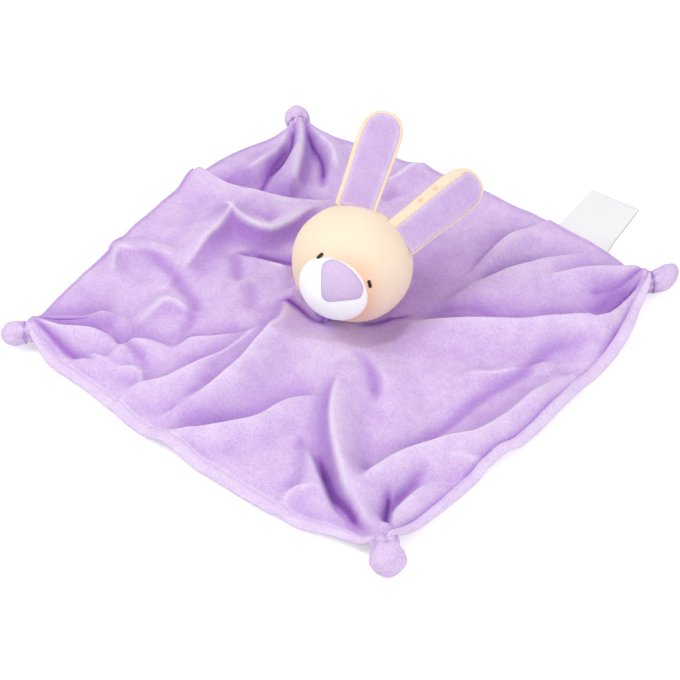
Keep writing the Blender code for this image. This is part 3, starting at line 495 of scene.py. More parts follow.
SIDE_SHIFTS = read_lines("""
    left: -1 0, -0.7 -4, -0.5 -4, -0.2 0, 0.1 3.5, 0.4 4, 0.6 3, 0.8 0, 1 0;
    right: -1 0, -0.85 -6, -0.6 -8, -0.42 -7, -0.27 -5, -0.15 -1, 0.3 0, 0.6 -1, 0.8 -4, 1 0;
    front: -1 0, -0.8 -6, -0.5 -7, -0.2 -2, 0.2 -1, 0.6 -2, 0.8 -4, 1 0;
    back: -1 0, -0.7 -4, -0.45 -5, -0.2 -2, 0 0, 0.2 -2, 0.35 -1.5, 0.8 -1, 1 0
""")


def side_shift(side, along):
    """How far out one side of the blanket lies, at places from -1 to 1 along it."""
    line = through(*SIDE_SHIFTS[side], 0.05)
    return np.interp(along, line[:, 0], line[:, 1])


def outline(u, v):
    """Bend a square of -1 to 1 into the blanket's outline, in millimetres."""
    bow = HALF_WIDTH - CORNER
    x = u * (CORNER + bow * (1 - np.abs(v) ** BOW_POWER))
    y = v * (CORNER + bow * (1 - np.abs(u) ** BOW_POWER))
    for (across, back), (pull_x, pull_y) in CORNER_PULLS.items():
        near = ((1 + u * across) * (1 + v * back) / 4) ** 3
        x = x + pull_x * near
        y = y + pull_y * near
    x = x + side_shift("right", v) * ((1 + u) / 2) ** 4 - side_shift("left", v) * ((1 - u) / 2) ** 4
    y = y + side_shift("back", u) * ((1 + v) / 2) ** 4 - side_shift("front", u) * ((1 - v) / 2) ** 4
    return np.stack([x, y], -1)


def head_room(points):
    """Height above the flat cloth that the head leaves free as it moves."""
    away = np.full(len(points), 1e3)
    for twist in HEAD_TWISTS:
        cos, sin = math.cos(math.radians(twist)), math.sin(math.radians(twist))
        way = np.array((FACE_WAY[0] * cos - FACE_WAY[1] * sin, FACE_WAY[0] * sin + FACE_WAY[1] * cos))
        run = (HEAD_RUN + abs(twist) * RUN_PER_DEGREE) * way
        t = np.clip(((points - HEAD_MIDDLE) @ run) / (run @ run), 0, 1)
        away = np.minimum(away, sizes_of(points - HEAD_MIDDLE - t[:, None] * run))
    return away ** 2 / (2 * HEAD_BALL) - HEAD_SINK


def corner_points():
    """The ends of the cloth at the four knots."""
    return {corner: outline(np.array([corner[0]]), np.array([corner[1]]))[0] for corner in CORNER_PULLS}


def folds(points):
    """At each point: height of the rolls, depth of the creases, painted shade, and painted highlight near
    crests.
    """
    total, painted_highlight, shadow, painted_shade, sunk = np.zeros((5, len(points)))
    for width, steep, shade_reach, shade_strength, line in ROLLS.values():
        away, top, share, side = beside(points, through(line, 4))
        wide = width * np.where(side == steep, STEEP_WIDTH, SOFT_WIDTH) if steep else width
        slope = np.clip(1 - away / wide, 0, 1)
        level = np.where(side == -steep, eased(slope), slope ** 1.5) if steep else slope ** 1.5
        total += (1.25 * top * level) ** JOIN_POWER
        ends = np.clip(np.minimum(share, 1 - share) * 9, 0, 1)
        high = np.clip(top / FULL_ROLL, 0, 1) * ends
        # painted highlight along each crest
        painted_highlight = np.maximum(painted_highlight, falloff(away, 1.3) * high)
        if steep:
            # a weaker painted highlight on the gentle side of a leaning roll
            painted_highlight = np.maximum(painted_highlight, 0.4 * falloff(away, 6, 1.5) * (side != steep) * high)
            # painted shadow on the steep side, beyond the crest
            shaded = eased(away / 2.5) * falloff(away, width * shade_reach, 2.5) * (side == steep)
            shadow = np.maximum(shadow, shaded * shade_strength * np.clip(top / FULL_SHADE, 0, 1) * ends)
    height = total ** (1 / JOIN_POWER)
    height += ripples(points, 60, 24, 3) * 0.5 + ripples(points, 22, 9, 5) * 0.12
    for corner, end in corner_points().items():
        height += CORNER_LIFTS[corner] * falloff(sizes_of(points - end), CORNER_REACH)
    for width, depth, line in CREASES.values():
        away, _, share, _ = beside(points, through(line, 4))
        taper = np.clip(np.sin(share * math.pi) * 1.6, 0, 1) ** 0.7
        cut = falloff(away, width * (0.5 + 0.5 * taper)) * taper
        sunk = np.maximum(sunk, depth * cut)
        # painted shade in each crease
        painted_shade = np.maximum(painted_shade, np.minimum(cut * depth / 4, 1.2))
    sunk *= np.clip((sizes_of(points - HEAD_MIDDLE) - CLEAR_OF_HEAD) / CLEAR_OF_HEAD, 0.15, 1)
    return height, sunk, np.maximum(painted_shade, shadow) * SHADE_MOST, painted_highlight * (1 - painted_shade)


sample = np.array([(69.0, -92.0), (0.0, 100.0)])
print("heights at two points:", folds(sample)[0].round(2))

# %% [markdown]
# ## The upper cloth
# The upper layer is a fine grid that is bent to the outline and lifted to the height above. Round its rim it
# dips into the seam that joins it to the rolled hem. Its painted shade comes from the crease lines and the
# shaded sides of the rolls, and from how far each point lies below the mean height round it, which darkens all
# hollows a little. More painted shade lies under the head and along the seam at the back and sides. Painted
# highlights lie along crests, under the chin and along the front seam.

# %% Build the upper cloth
CELLS = 250
INSETS = {"left": 1.2, "right": 6.6, "front": 7.2, "back": 1.2}
HEM_THICK = {"left": 4.2, "right": 4.0, "front": 4.0, "back": 4.2}
HEM_NARROWS = 0.85          # share of its width that the hem has lost at the knots
LIFTED = 0.75               # share of a fold's height by which the layers rise together
LEAST_HEIGHT = 1.8
SEAM_SINK, SEAM_WIDTH = 0.9, 1.3
# passes that smooth the cloth, then the smoothing and depth by which painted shade in hollows is measured
SMOOTHINGS, HOLLOW_SMOOTHINGS, HOLLOW_DEPTH = 3, 60, 4.5
# painted shadow of the head: its middle, reach and strength
UNDER_HEAD, UNDER_HEAD_REACH, UNDER_HEAD_SHADE = np.array((15.0, 34.0)), np.array((42.0, 54.0)), 0.48
# painted light under the chin, against the head's shadow: its middle, reach and strength
CHIN, CHIN_REACH, CHIN_PAINTED_LIGHT = np.array((16.0, -25.0)), 24, 0.45


def smoothed(table, passes):
    """Average each value of a table with its neighbours, again and again."""
    for _ in range(passes):
        edge = np.pad(table, 1, mode="edge")
        table = (edge[:-2, 1:-1] + edge[2:, 1:-1] + edge[1:-1, :-2] + edge[1:-1, 2:] + 4 * table) / 8
    return table


def hem_values(u, v, values):
    """Blend a value that each side of the blanket has, by how near each side is."""
    near = {"left": 1 + u, "right": 1 - u, "front": 1 + v, "back": 1 - v}
    weights = {side: 1 / (np.clip(distance, 0, 2) + 0.02) ** 3 for side, distance in near.items()}
    total = sum(weights.values())
    return sum(weights[side] * values[side] for side in values) / total


def seam_limits(along, first, last):
    """Where the hem's seam lies across the square, from -1 to 1; the hem narrows towards the knots."""
    left = (1 - HEM_NARROWS * np.abs(along) ** 6) / HALF_WIDTH
    return -1 + INSETS[first] * left, 1 - INSETS[last] * left


square = np.linspace(-1, 1, CELLS + 1)
square_v, square_u = np.meshgrid(square, square, indexing="ij")
left_limit, right_limit = seam_limits(square_v, "left", "right")
front_limit, back_limit = seam_limits(square_u, "front", "back")
grid_u = (left_limit + (right_limit - left_limit) * (square_u + 1) / 2).ravel()
grid_v = (front_limit + (back_limit - front_limit) * (square_v + 1) / 2).ravel()
flat_points = outline(grid_u, grid_v)
# the last two are painted shade and painted highlight
heights, sunk, creases, painted_highlights = folds(flat_points)
heights = np.minimum(heights, head_room(flat_points))
lift = np.maximum(heights, 0) * LIFTED
heights = heights - sunk
cells = np.arange(CELLS + 1)
rim_cells = np.minimum(cells, CELLS - cells)
rim = np.minimum(rim_cells[:, None], rim_cells[None, :]).ravel() * (2 * HALF_WIDTH / CELLS)
hem_thick = hem_values(grid_u, grid_v, HEM_THICK)
inner = np.maximum(PUFF + heights, LEAST_HEIGHT)
outer = lift + hem_thick - 0.3
corner_near = np.abs(square_u * square_v).ravel() ** 4
level = outer + (inner - outer) * eased(rim / (7 - 4.5 * corner_near))
level -= SEAM_SINK * falloff(rim, SEAM_WIDTH)
table = smoothed(level.reshape(CELLS + 1, CELLS + 1), SMOOTHINGS)
# painted shade in hollows, by how far a point lies below the smoothed cloth
hollow = np.clip((smoothed(table, HOLLOW_SMOOTHINGS) - table).ravel() / HOLLOW_DEPTH, 0, 1)
# painted shadow of the head on the cloth round it
under_head = sizes_of((flat_points - UNDER_HEAD) / UNDER_HEAD_REACH)
hollow = np.maximum(hollow, UNDER_HEAD_SHADE * falloff(under_head, 1, 3))
# painted shade along the seam at the back and sides, painted highlight along the front seam
seam_front = hem_values(grid_u, grid_v, {"left": 0, "right": 0, "front": 1, "back": 0})
seam_line = falloff(rim, 0.9)
shade = np.clip(np.maximum(creases, hollow) + 0.25 * seam_line * (1 - seam_front), 0, 1)
# painted light under the chin
painted_highlights = np.maximum(painted_highlights, CHIN_PAINTED_LIGHT * falloff(sizes_of(flat_points - CHIN), CHIN_REACH, 3))
top_points = np.column_stack([flat_points, table.ravel()]) * MM
upper_cloth = piece("blanket_upper_cloth", top_points, quads(CELLS + 1, CELLS + 1), lilac_velour, shade,
                    np.maximum(painted_highlights * eased(rim / 3), 0.9 * seam_line * seam_front))
print("upper cloth:", len(top_points), "points, highest", round(table.max(), 1), "mm")

# %% [markdown]
# ## The lower cloth and its rolled hem
# The lower layer lies on the floor and turns up round the edge as a puffy hem, up to the seam. It is one
# grid: its middle lies flat, and its outermost rows are carried round a half circle to the top of the seam.

# %% Build the lower cloth
FLAT_CELLS = 100
ROLL_ROWS = 12
UNDERSIDE = 0.3
TUCK_START, TUCK_DEPTH = 0.92, 1.8      # where the turned edge begins to tuck into the seam, and how deep
total_rows = FLAT_CELLS + 2 * ROLL_ROWS
index = np.arange(total_rows + 1)
flat_share = np.clip((index - ROLL_ROWS) / FLAT_CELLS, 0, 1) * 2 - 1
past = np.maximum(np.maximum(ROLL_ROWS - index, index - ROLL_ROWS - FLAT_CELLS), 0) / ROLL_ROWS
v_flat, u_flat = np.meshgrid(flat_share, flat_share, indexing="ij")
v_past, u_past = np.meshgrid(past, past, indexing="ij")
u_flat, v_flat, u_past, v_past = (values.ravel() for values in (u_flat, v_flat, u_past, v_past))
turned = np.maximum(u_past, v_past)
thick = hem_values(u_flat, v_flat, HEM_THICK)
base = outline(u_flat, v_flat)
step = 1e-3
side_way = outline(u_flat, v_flat) - outline(u_flat * (1 - step), v_flat * (1 - step))
side_way /= np.maximum(np.linalg.norm(side_way, axis=1, keepdims=True), 1e-9)
seam_place = outline(np.clip(u_flat, *seam_limits(v_flat, "left", "right")),
                     np.clip(v_flat, *seam_limits(u_flat, "front", "back")))
drawn_in = eased((np.maximum(np.abs(u_flat), np.abs(v_flat)) - 0.9) / 0.1)
shrunk = base + (seam_place - base) * drawn_in[:, None]
inset = sizes_of(base - seam_place)
fold = np.minimum(folds(shrunk)[0], head_room(shrunk))
lift = np.maximum(fold, 0) * LIFTED
roll = turned * math.pi
wobble = 1 + 0.03 * ripples(base, 60, 30, 11)
outward = np.where(turned > 0, np.sin(roll) * inset * wobble, 0)
rise = np.where(turned > 0, (1 - np.cos(roll)) / 2 * thick * (1 + 0.5 * (wobble - 1)), 0)
sunk = np.where(turned > TUCK_START, (turned - TUCK_START) / (1 - TUCK_START) * TUCK_DEPTH, 0)
place = shrunk + side_way * (outward - sunk * 0.5)[:, None]
level = UNDERSIDE + lift + rise - sunk
under_points = np.column_stack([place, level]) * MM
# painted shade where the hem tucks into the seam, and painted highlight on the front and right hem
under_shade = np.clip((turned - 0.9) / 0.1, 0, 1) * 0.3
near_front = hem_values(u_flat, v_flat, {"left": 0, "right": 1, "front": 1, "back": 0})
under_highlight = near_front * eased((turned - 0.3) / 0.3) * 0.4
lower_faces = [face[::-1] for face in quads(total_rows + 1, total_rows + 1)]
lower_cloth = piece("blanket_lower_cloth", under_points, lower_faces, lilac_velour, under_shade, under_highlight)
print("lower cloth:", len(under_points), "points")

for cloth, node in ((upper_cloth, "blanket_top_layer"), (lower_cloth, "blanket_bottom_layer")):
    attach(cloth, "blanket")
    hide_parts(node)

# %% [markdown]
# ## The head's own axes
# The head leans back and is turned and tipped to one side. Its frame is worked out once: x to the side, -y
# out of the face and z up through the crown. Anything on the head is then made upright and carried there.

# %% Work out the head's frame
HEADING, LEAN_BACK, TIP = 25.2, 28.2, 23        # in degrees
NECK_POINT = Vector((0.00139, -0.0096, 0.01565))
NECK_TO_CENTRE = 0.025
HEAD_WIDE, HEAD_TALL = 33.4, 31.3
HEAD_TILT = tilted(HEADING, "Z") @ tilted(-LEAN_BACK, "X") @ tilted(TIP, "Y")
NECK_FRAME = Matrix.Translation(NECK_POINT) @ HEAD_TILT
HEAD_FRAME = NECK_FRAME @ Matrix.Translation((0, 0, NECK_TO_CENTRE))
MUZZLE_RADII = np.array((20.4, 15.8, 19.3))
MUZZLE_DROP, MUZZLE_FORWARD = 22, 0.024
MUZZLE_FRAME = HEAD_FRAME @ tilted(MUZZLE_DROP, "X") @ Matrix.Translation((0, -MUZZLE_FORWARD, 0))


def turn_and_place(frame_matrix):
    """The rotation and the middle of a frame, as arrays."""
    return np.array(frame_matrix.to_3x3()), np.array(frame_matrix.to_translation())


def carried(points, frame_matrix):
    """Carry points in millimetres, in a frame's own axes, to the world in metres."""
    turn, place = turn_and_place(frame_matrix)
    return np.asarray(points) * MM @ turn.T + place


print("head centre:", [round(value, 4) for value in HEAD_FRAME.to_translation()])

# %% [markdown]
# ## The head
# Two cream panels are sewn together over the crown, from ear to ear, and stuffed firmly into a ball. Each
# panel is half a ball whose edge sinks into the seam, with the slight unevenness of hand stuffing.

# %% Build the two head panels
def ball(rings, sides, radii, start=0.0, end=math.pi):
    """Rows of points round a ball, whose pole is the face side (-y)."""
    slope = np.linspace(start, end, rings)
    turn = np.arange(sides) / sides * math.tau
    slope, turn = (values.ravel() for values in np.meshgrid(slope, turn, indexing="ij"))
    shape = np.column_stack([np.sin(slope) * np.cos(turn), -np.cos(slope), np.sin(slope) * np.sin(turn)])
    return shape * np.array(radii)


HEAD_ROWS, HEAD_SIDES = 60, 128
PANEL_SEAM, PANEL_SEAM_WIDTH = 0.75, 1.2


def head_panel(name, front):
    """Half of the head's ball, with its edge drawn into the seam."""
    start, end = (0.0, math.pi / 2) if front else (math.pi / 2, math.pi)
    points = ball(HEAD_ROWS, HEAD_SIDES, (HEAD_WIDE, HEAD_WIDE, HEAD_TALL), start, end)
    ways = points / np.linalg.norm(points, axis=1, keepdims=True)
    from_seam = np.abs(points[:, 1])
    uneven = ripples(points[:, [0, 2]] + points[:, [1, 0]] * 0.4, 50, 24, 21) * 0.25
    plump = uneven * np.minimum(from_seam / 6, 1) - PANEL_SEAM * falloff(from_seam, PANEL_SEAM_WIDTH)
    world = carried(points + ways * plump[:, None], HEAD_FRAME)
    in_muzzle = carried(world / MM, MUZZLE_FRAME.inverted()) / MM / MUZZLE_RADII
    beyond = np.maximum(sizes_of(in_muzzle) - 1, 0) * 17
    rightward = eased(0.5 + in_muzzle[:, 0] * 0.6)
    # painted shade along the seam; on the face, painted shade round the muzzle, stronger to the right
    shade = 0.45 * falloff(from_seam, 0.6)
    if front:
        shade = shade + falloff(beyond, 3.5, 1.5) * (0.12 + 0.35 * rightward)
    return piece(name, world, quads(HEAD_ROWS, HEAD_SIDES, closed=True), cream_velour, np.clip(shade, 0, 1))


face_cover = head_panel("head_face_cover", True)
rear_cover = head_panel("head_rear_cover", False)
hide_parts("head_front_panel", "head_stuffing")
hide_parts("head_back_panel")
for cover in (face_cover, rear_cover):
    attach(cover, "head")
print("head panels:", len(face_cover.data.vertices), "points each")

# %% [markdown]
# ## The muzzle
# The muzzle is a white dome that is sewn onto the face, plump in the middle and drawn in at its seam. It is
# made as a whole ball, and the part that would lie deep in the head is taken away.

# %% Build the muzzle
ROWS, SIDES = 80, 128
MUZZLE_END = 2.3            # how far round the ball is made, in radians
INSIDE_HEAD = 1.6           # how deep in the head its edge lies
MUZZLE_SEAM, MUZZLE_SEAM_WIDTH = 0.5, 0.9
points = ball(ROWS, SIDES, MUZZLE_RADII, 0, MUZZLE_END)
in_head = carried(points, HEAD_FRAME.inverted() @ MUZZLE_FRAME) / MM * np.array((1, 1, HEAD_WIDE / HEAD_TALL))
above_head = sizes_of(in_head) - HEAD_WIDE
ways = points / np.linalg.norm(points, axis=1, keepdims=True)
points = points - ways * (MUZZLE_SEAM * falloff(above_head - 0.2, MUZZLE_SEAM_WIDTH))[:, None]
# painted shade where the muzzle meets the head
shade = 0.35 * falloff(above_head, 1.1)
faces = [face for face in quads(ROWS, SIDES, closed=True) if max(above_head[list(face)]) > -INSIDE_HEAD]
used = sorted({corner for face in faces for corner in face})
renumber = {old: new for new, old in enumerate(used)}
faces = [tuple(renumber[corner] for corner in face) for face in faces]
muzzle = piece("muzzle_dome", carried(points[used], MUZZLE_FRAME), faces, white_velour, shade[used])
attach(muzzle, "head")
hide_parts("muzzle_cover", "muzzle_stuffing")
print("muzzle:", len(used), "points")

# %% [markdown]
# ## The nose
# The nose is a soft lilac patch with a domed top and a rounded point below, sewn flat onto the muzzle. Rings
# of its outline are laid on the dome, a little proud of it in the middle, with the edge tucked in.

# %% Build the nose
NOSE_WIDE, NOSE_TALL = 26.8, 21.9
NOSE_HALF = [(0.0, 0.37), (0.23, 0.335), (0.42, 0.235), (0.5, 0.02), (0.43, -0.14), (0.275, -0.355),
             (0.1, -0.575), (0.0, -0.62)]
NOSE_OUTLINE = NOSE_HALF + [(-x, z) for x, z in NOSE_HALF[-2::-1]]
NOSE_FRAME = (MUZZLE_FRAME @ tilted(-MUZZLE_DROP, "X") @ tilted(-17, "X")
              @ Matrix.Translation((0.0022, 0, 0.0029)) @ tilted(11.7, "Y"))
RINGS = 26
PROUD, TUCKED = 1.25, 0.25
edge = through([(x * NOSE_WIDE, z * NOSE_TALL) for x, z in NOSE_OUTLINE], 0.6)[:-1, :2]
turn, origin = turn_and_place(MUZZLE_FRAME.inverted() @ NOSE_FRAME)
back = turn @ np.array((0, -1.0, 0))
middle = np.array((0.0, -1.5))
nose_points, nose_shade = [], []
for ring in range(RINGS + 1):
    share = ring / RINGS
    spots = middle + (edge - middle) * share
    spots = np.column_stack([spots[:, 0], np.zeros(len(spots)), spots[:, 1]])
    starts = spots @ turn.T + origin / MM
    a = ((back / MUZZLE_RADII) ** 2).sum()
    b = 2 * (starts * back / MUZZLE_RADII ** 2).sum(axis=1)
    c = ((starts / MUZZLE_RADII) ** 2).sum(axis=1) - 1
    run = (-b + np.sqrt(b * b - 4 * a * c)) / (2 * a)
    landed = starts + run[:, None] * back
    out = landed / MUZZLE_RADII ** 2
    out /= np.linalg.norm(out, axis=1, keepdims=True)
    proud = PROUD * math.sqrt(max(1 - share ** 6, 0)) - TUCKED
    nose_points.append(landed + out * proud)
    # painted shade at the nose's tucked edge
    nose_shade += [0.5 * share ** 24] * len(edge)
nose = piece("nose_velour_patch", carried(np.vstack(nose_points), MUZZLE_FRAME),
             quads(RINGS + 1, len(edge), closed=True), nose_velour, nose_shade)
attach(nose, "head")
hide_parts("nose_patch")
print("nose:", len(edge), "points round its edge")

# %% [markdown]
# ## The eyes
# Each eye is a short slanted bar of black satin stitches: a few strands of thread side by side, which sink
# into the pile at their ends.

# %% Build the eyes
black_thread = Finish("black_satin_stitch", Roughness=0.35, Specular_IOR_Level=0.5)
twist = black_thread.stripes("DIAGONAL", 1500.0, 1.0)
black_thread.feed(Base_Color=black_thread.mixed(twist * 0.4, (0.004, 0.004, 0.005), (0.03, 0.028, 0.032)),
                  Normal=black_thread.bumped(twist, 0.08))
EYE_LENGTH, EYE_WIDTH, EYE_BOW, EYE_FOOT, STRANDS = 4.8, 1.7, 0.75, 0.25, 4


def stitched_bar(name, sign, aside, up, slant):
    """Strands of thread side by side, bowed over the pile."""
    on_face = Matrix.Translation((0, -HEAD_WIDE * MM, 0))
    place = HEAD_FRAME @ tilted(sign * aside, "Z") @ tilted(-up, "X") @ on_face @ tilted(-sign * slant, "Y")
    rows, sides = 13, 10
    thick = EYE_WIDTH / STRANDS * 0.62
    points, faces = [], []
    for strand in range(STRANDS):
        from_middle = strand - (STRANDS - 1) / 2
        offset = from_middle * EYE_WIDTH / STRANDS
        shorter = 1 - 0.25 * abs(from_middle) / STRANDS
        first = len(points)
        for row in range(rows):
            along = row / (rows - 1) * 2 - 1
            bow = EYE_FOOT - EYE_BOW * math.sqrt(max(1 - along ** 4, 0))
            for side in range(sides):
                turn = side / sides * math.tau
                points.append((offset + math.cos(turn) * thick, bow + math.sin(turn) * thick,
                               along * EYE_LENGTH / 2 * shorter))
        faces += [tuple(first + corner for corner in face) for face in quads(rows, sides, closed=True)]
        faces.append(tuple(range(first + sides - 1, first - 1, -1)))
        faces.append(tuple(range(first + (rows - 1) * sides, first + rows * sides)))
    return piece(name, carried(points, place), faces, black_thread.material)


for side, sign, aside, up, slant in (("left", -1, 25.3, 3.6, 17), ("right", 1, 28, 4.6, 42)):
    eye = stitched_bar(f"eye_stitches_{side}", sign, aside, up, slant)
    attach(eye, "head")
    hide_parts(f"eye_{side}")
print("eyes: two bars of", STRANDS, "strands")

# %% [markdown]
# ## The ears
# Each ear is a thin pad: a cream back that turns over the edge as a narrow rim, and a lilac lining that is
# sewn in on the front. Both panels are rings between the edge of the ear and a line along its middle, so one
# rule gives them both, and the seam is where one stops and the other starts.

# %% Build the ears
EAR_LENGTH, EAR_THICK, EAR_HALF = 55.0, 3.2, 11.4
EAR_LINE = [(0, -2.6), (7, -2.6), (10.8, -2.3), (11.3, 1.5), (EAR_HALF, 8), (11.7, 18), (12.1, 29),
            (12.2, 39), (11.1, 46.5), (7.8, 52.2), (3.6, 54.6), (0, EAR_LENGTH)]
EAR_SIDES, LINING_ROWS, RIM_ROWS, BACK_ROWS = 200, 30, 14, 34
SEAM_GROOVE = 0.035
ROOT_BEND = 0.009           # a length along the ear from its root, in metres
EARS = {
    "left": {"place": -24, "splay": -13.3, "lean": 22, "rims": (0.78, 0.87, 0.80)},
    "right": {"place": 29.5, "splay": 22.2, "lean": 30, "rims": (0.52, 0.93, 0.84), "dimples": (19.5, 30.5)},
}


def ear_edge():
    """The ear's outline, from its root round its tip."""
    half = through(EAR_LINE, 0.8)[:, :2]
    mirrored = half[::-1][1:] * np.array((-1, 1))
    closed = np.vstack([half, mirrored])
    lengths = np.concatenate([[0], np.cumsum(sizes_of(np.diff(closed, axis=0)))])
    wanted = np.arange(EAR_SIDES) / EAR_SIDES * lengths[-1]
    return np.column_stack([np.interp(wanted, lengths, closed[:, axis]) for axis in (0, 1)])


def ear_surface(spread, front, seam, edge, spine):
    """Points of one ring of an ear: spread runs from 0 at the spine to 1 at the edge."""
    spots = spine + (edge - spine) * spread[:, None]
    plump = np.sqrt(np.clip(1 - spread ** 2.6, 0, 1))
    thick = EAR_THICK * plump * (0.55 + 0.45 * np.clip(spots[:, 1] / 12, 0, 1))
    depth = 0.55 * falloff(spread - seam, SEAM_GROOVE) - thick if front else thick
    puckers = 0.16 * np.sin(spots[:, 1] * 1.9) * falloff(spread - seam, 0.12) if front else 0
    cup = -0.0016 * (spots[:, 1]) ** 2 * 0.35 + 0.006 * spots[:, 0] ** 2
    return np.column_stack([spots[:, 0], depth + puckers - cup * 0.6, spots[:, 1]])


def make_ear(side, facts):
    """Make the cream back with its rim, and the lilac lining."""
    place = math.radians(facts["place"])
    base = Vector((HEAD_WIDE * math.sin(place), 0, HEAD_TALL * math.cos(place))) * MM
    ear_tilt = tilted(facts["splay"], "Y") @ tilted(-facts["lean"], "X")
    ear_frame = HEAD_FRAME @ Matrix.Translation(base) @ ear_tilt
    edge = ear_edge()
    spine = np.column_stack([np.zeros(EAR_SIDES), np.clip(edge[:, 1], 9, EAR_LENGTH - 11)])
    turn = np.arctan2(edge[:, 1] - spine[:, 1], edge[:, 0])
    left_rim, right_rim, tip_rim = facts["rims"]
    seam = right_rim + (left_rim - right_rim) * eased(0.5 - np.cos(turn) / 2)
    seam = seam + (tip_rim - seam) * eased((edge[:, 1] - EAR_LENGTH + 9) / 9)
    straight = np.where(edge[:, 0] < 0, left_rim, right_rim) * EAR_HALF / np.maximum(np.abs(edge[:, 0]), 0.1)
    seam = seam + (np.minimum(straight, 0.96) - seam) * np.clip((1 - edge[:, 1]) / 1.5, 0, 1)
    lining, back, lining_shade, back_shade, lining_pale = [], [], [], [], []
    for share in np.linspace(0, 1, LINING_ROWS):
        spread = seam * share
        lining.append(ear_surface(spread, True, seam, edge, spine))
        # painted shade at the seam, and a painted highlight of pale pile beside it
        lining_shade.append(0.2 * falloff(spread - seam, 0.03))
        lining_pale.append(0.55 * falloff(spread - seam, 0.16))
    for share in np.linspace(0, 1, RIM_ROWS):
        spread = seam + (1 - seam) * share
        ring = ear_surface(spread, True, seam, edge, spine)
        # painted shade on the cream rim, more at the seam
        ring_shade = 0.12 + 0.1 * falloff(spread - seam, 0.03)
        for height in facts.get("dimples", ()):
            # each dimple is a small dip with painted shade in it
            dimple = np.exp(-((ring[:, 0] + 9.2) ** 2 + (ring[:, 2] - height) ** 2) / 1.2 ** 2)
            ring[:, 1] += 0.5 * dimple
            ring_shade = ring_shade + 0.6 * dimple
        back.append(ring)
        back_shade.append(np.clip(ring_shade, 0, 1))
    for share in np.linspace(1, 0, BACK_ROWS)[1:]:
        back.append(ear_surface(np.full(EAR_SIDES, share), False, seam, edge, spine))
        back_shade.append(np.zeros(EAR_SIDES))
    lining_piece = piece(f"ear_{side}_lilac_lining", carried(np.vstack(lining), ear_frame),
                         quads(len(lining), EAR_SIDES, closed=True), ear_velour, np.concatenate(lining_shade),
                         np.concatenate(lining_pale))
    back_piece = piece(f"ear_{side}_cream_back", carried(np.vstack(back), ear_frame),
                       quads(len(back), EAR_SIDES, closed=True), cream_velour, np.concatenate(back_shade))
    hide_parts(f"ear_{side}_lining", f"ear_{side}_wadding")
    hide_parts(f"ear_{side}_back")
    for panel in (lining_piece, back_piece):
        start, end = (ear_frame @ Vector((0, 0, height)) for height in (0.0, ROOT_BEND))
        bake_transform(panel)
    return lining_piece, back_piece


for side, facts in EARS.items():
    lining_piece, back_piece = make_ear(side, facts)
    print(side, "ear:", len(lining_piece.data.vertices), "points in its lining")

# %% [markdown]
# ## The tuft under the head
# A tuft of the blanket is drawn up into the neck opening and bound there. Its cloth stands in pleats, so the
# radius of a turned shape is rippled round its axis, more at the foot and less at the binding.

# %% Build the neck tuft
TUFT = [(0.4, 9.2), (4.5, 8.1), (7.6, 5.2), (9.0, 1.5), (8.9, -1.5), (7.6, -4.6), (5.6, -7.2), (4.6, -8.6),
        (4.4, -9.8), (4.4, -11.0), (4.6, -12.0), (4.8, -13.2)]
TUFT_FRAME = NECK_FRAME @ tilted(35, "X")
TUFT_FLOOR = 1.7 * MM
TUFT_PLEATS, PLEAT_DEPTH, TUFT_SHADE = 7, 0.06, 0.7
CLOTH_SIDES = 96


def turned_ring(radius, height, wave, squeeze=1.0):
    """One ring of a turned shape, whose radius follows a wave of pleats; squeeze flattens it."""
    turn = np.arange(CLOTH_SIDES) / CLOTH_SIDES * math.tau
    ring_radius = radius * (1 + wave)
    return np.column_stack([np.cos(turn) * ring_radius * squeeze, np.sin(turn) * ring_radius,
                            np.full(CLOTH_SIDES, height)])


def cloth_faces(rows):
    """The faces of a turned shape, which look outward."""
    return [face[::-1] for face in quads(rows, CLOTH_SIDES, closed=True)]


profile = through(TUFT, 0.5)[:, :2]
turn = np.arange(CLOTH_SIDES) / CLOTH_SIDES * math.tau
pleat = np.cos(turn * TUFT_PLEATS + 0.6 * np.sin(turn * 2))
tuft_points, tuft_shade = [], []
for radius, height in profile:
    depth = PLEAT_DEPTH * eased((6 - height) / 12)
    tuft_points.append(turned_ring(radius, height, depth * pleat))
    # painted shade over the tuft, deeper in the hollows of its pleats
    tuft_shade.append(TUFT_SHADE + np.clip(-pleat, 0, 1) * depth * 3)
tuft_world = carried(np.vstack(tuft_points), TUFT_FRAME)
tuft_world[:, 2] = np.maximum(tuft_world[:, 2], TUFT_FLOOR)
tuft = piece("neck_tuft", tuft_world, cloth_faces(len(profile)), lilac_velour,
             np.clip(np.concatenate(tuft_shade), 0, 1))
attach(tuft, "blanket")
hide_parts("neck_gather")
print("tuft:", len(tuft_world), "points")

# %% [markdown]
# ## The corner knots
# Each corner of the blanket is rolled into a small round knot and bound at its neck. Knot and gathers are made
# in one turned shape each: the knot is a ball with faint pleats, and the gathers are a collar of cloth that
# fans out from the neck onto the blanket.

# %% Build the knots and their gathers
KNOT_HEIGHT, KNOT_FLOOR = 8.9 * MM, 0.25 * MM
KNOT_STEPS, BALL_START = 12, 1.6
COLLAR_BEND = (-6 * MM, 1.5 * MM)       # two places along the corner's axis, in metres
# corner across and back, then the knot's half width, length, bend in degrees, neck, pleats and seed
KNOTS = {
    "front_left": (-1, -1, 6.9, 17.0, -8, 5.8, 5, 31),
    "front_right": (1, -1, 8.7, 16.8, 0, 6.6, 7, 32),
    "back_left": (-1, 1, 8.1, 17.5, 0, 5.8, 6, 33),
    "back_right": (1, 1, 6.7, 26.0, -52, 5.8, 6, 34),
}


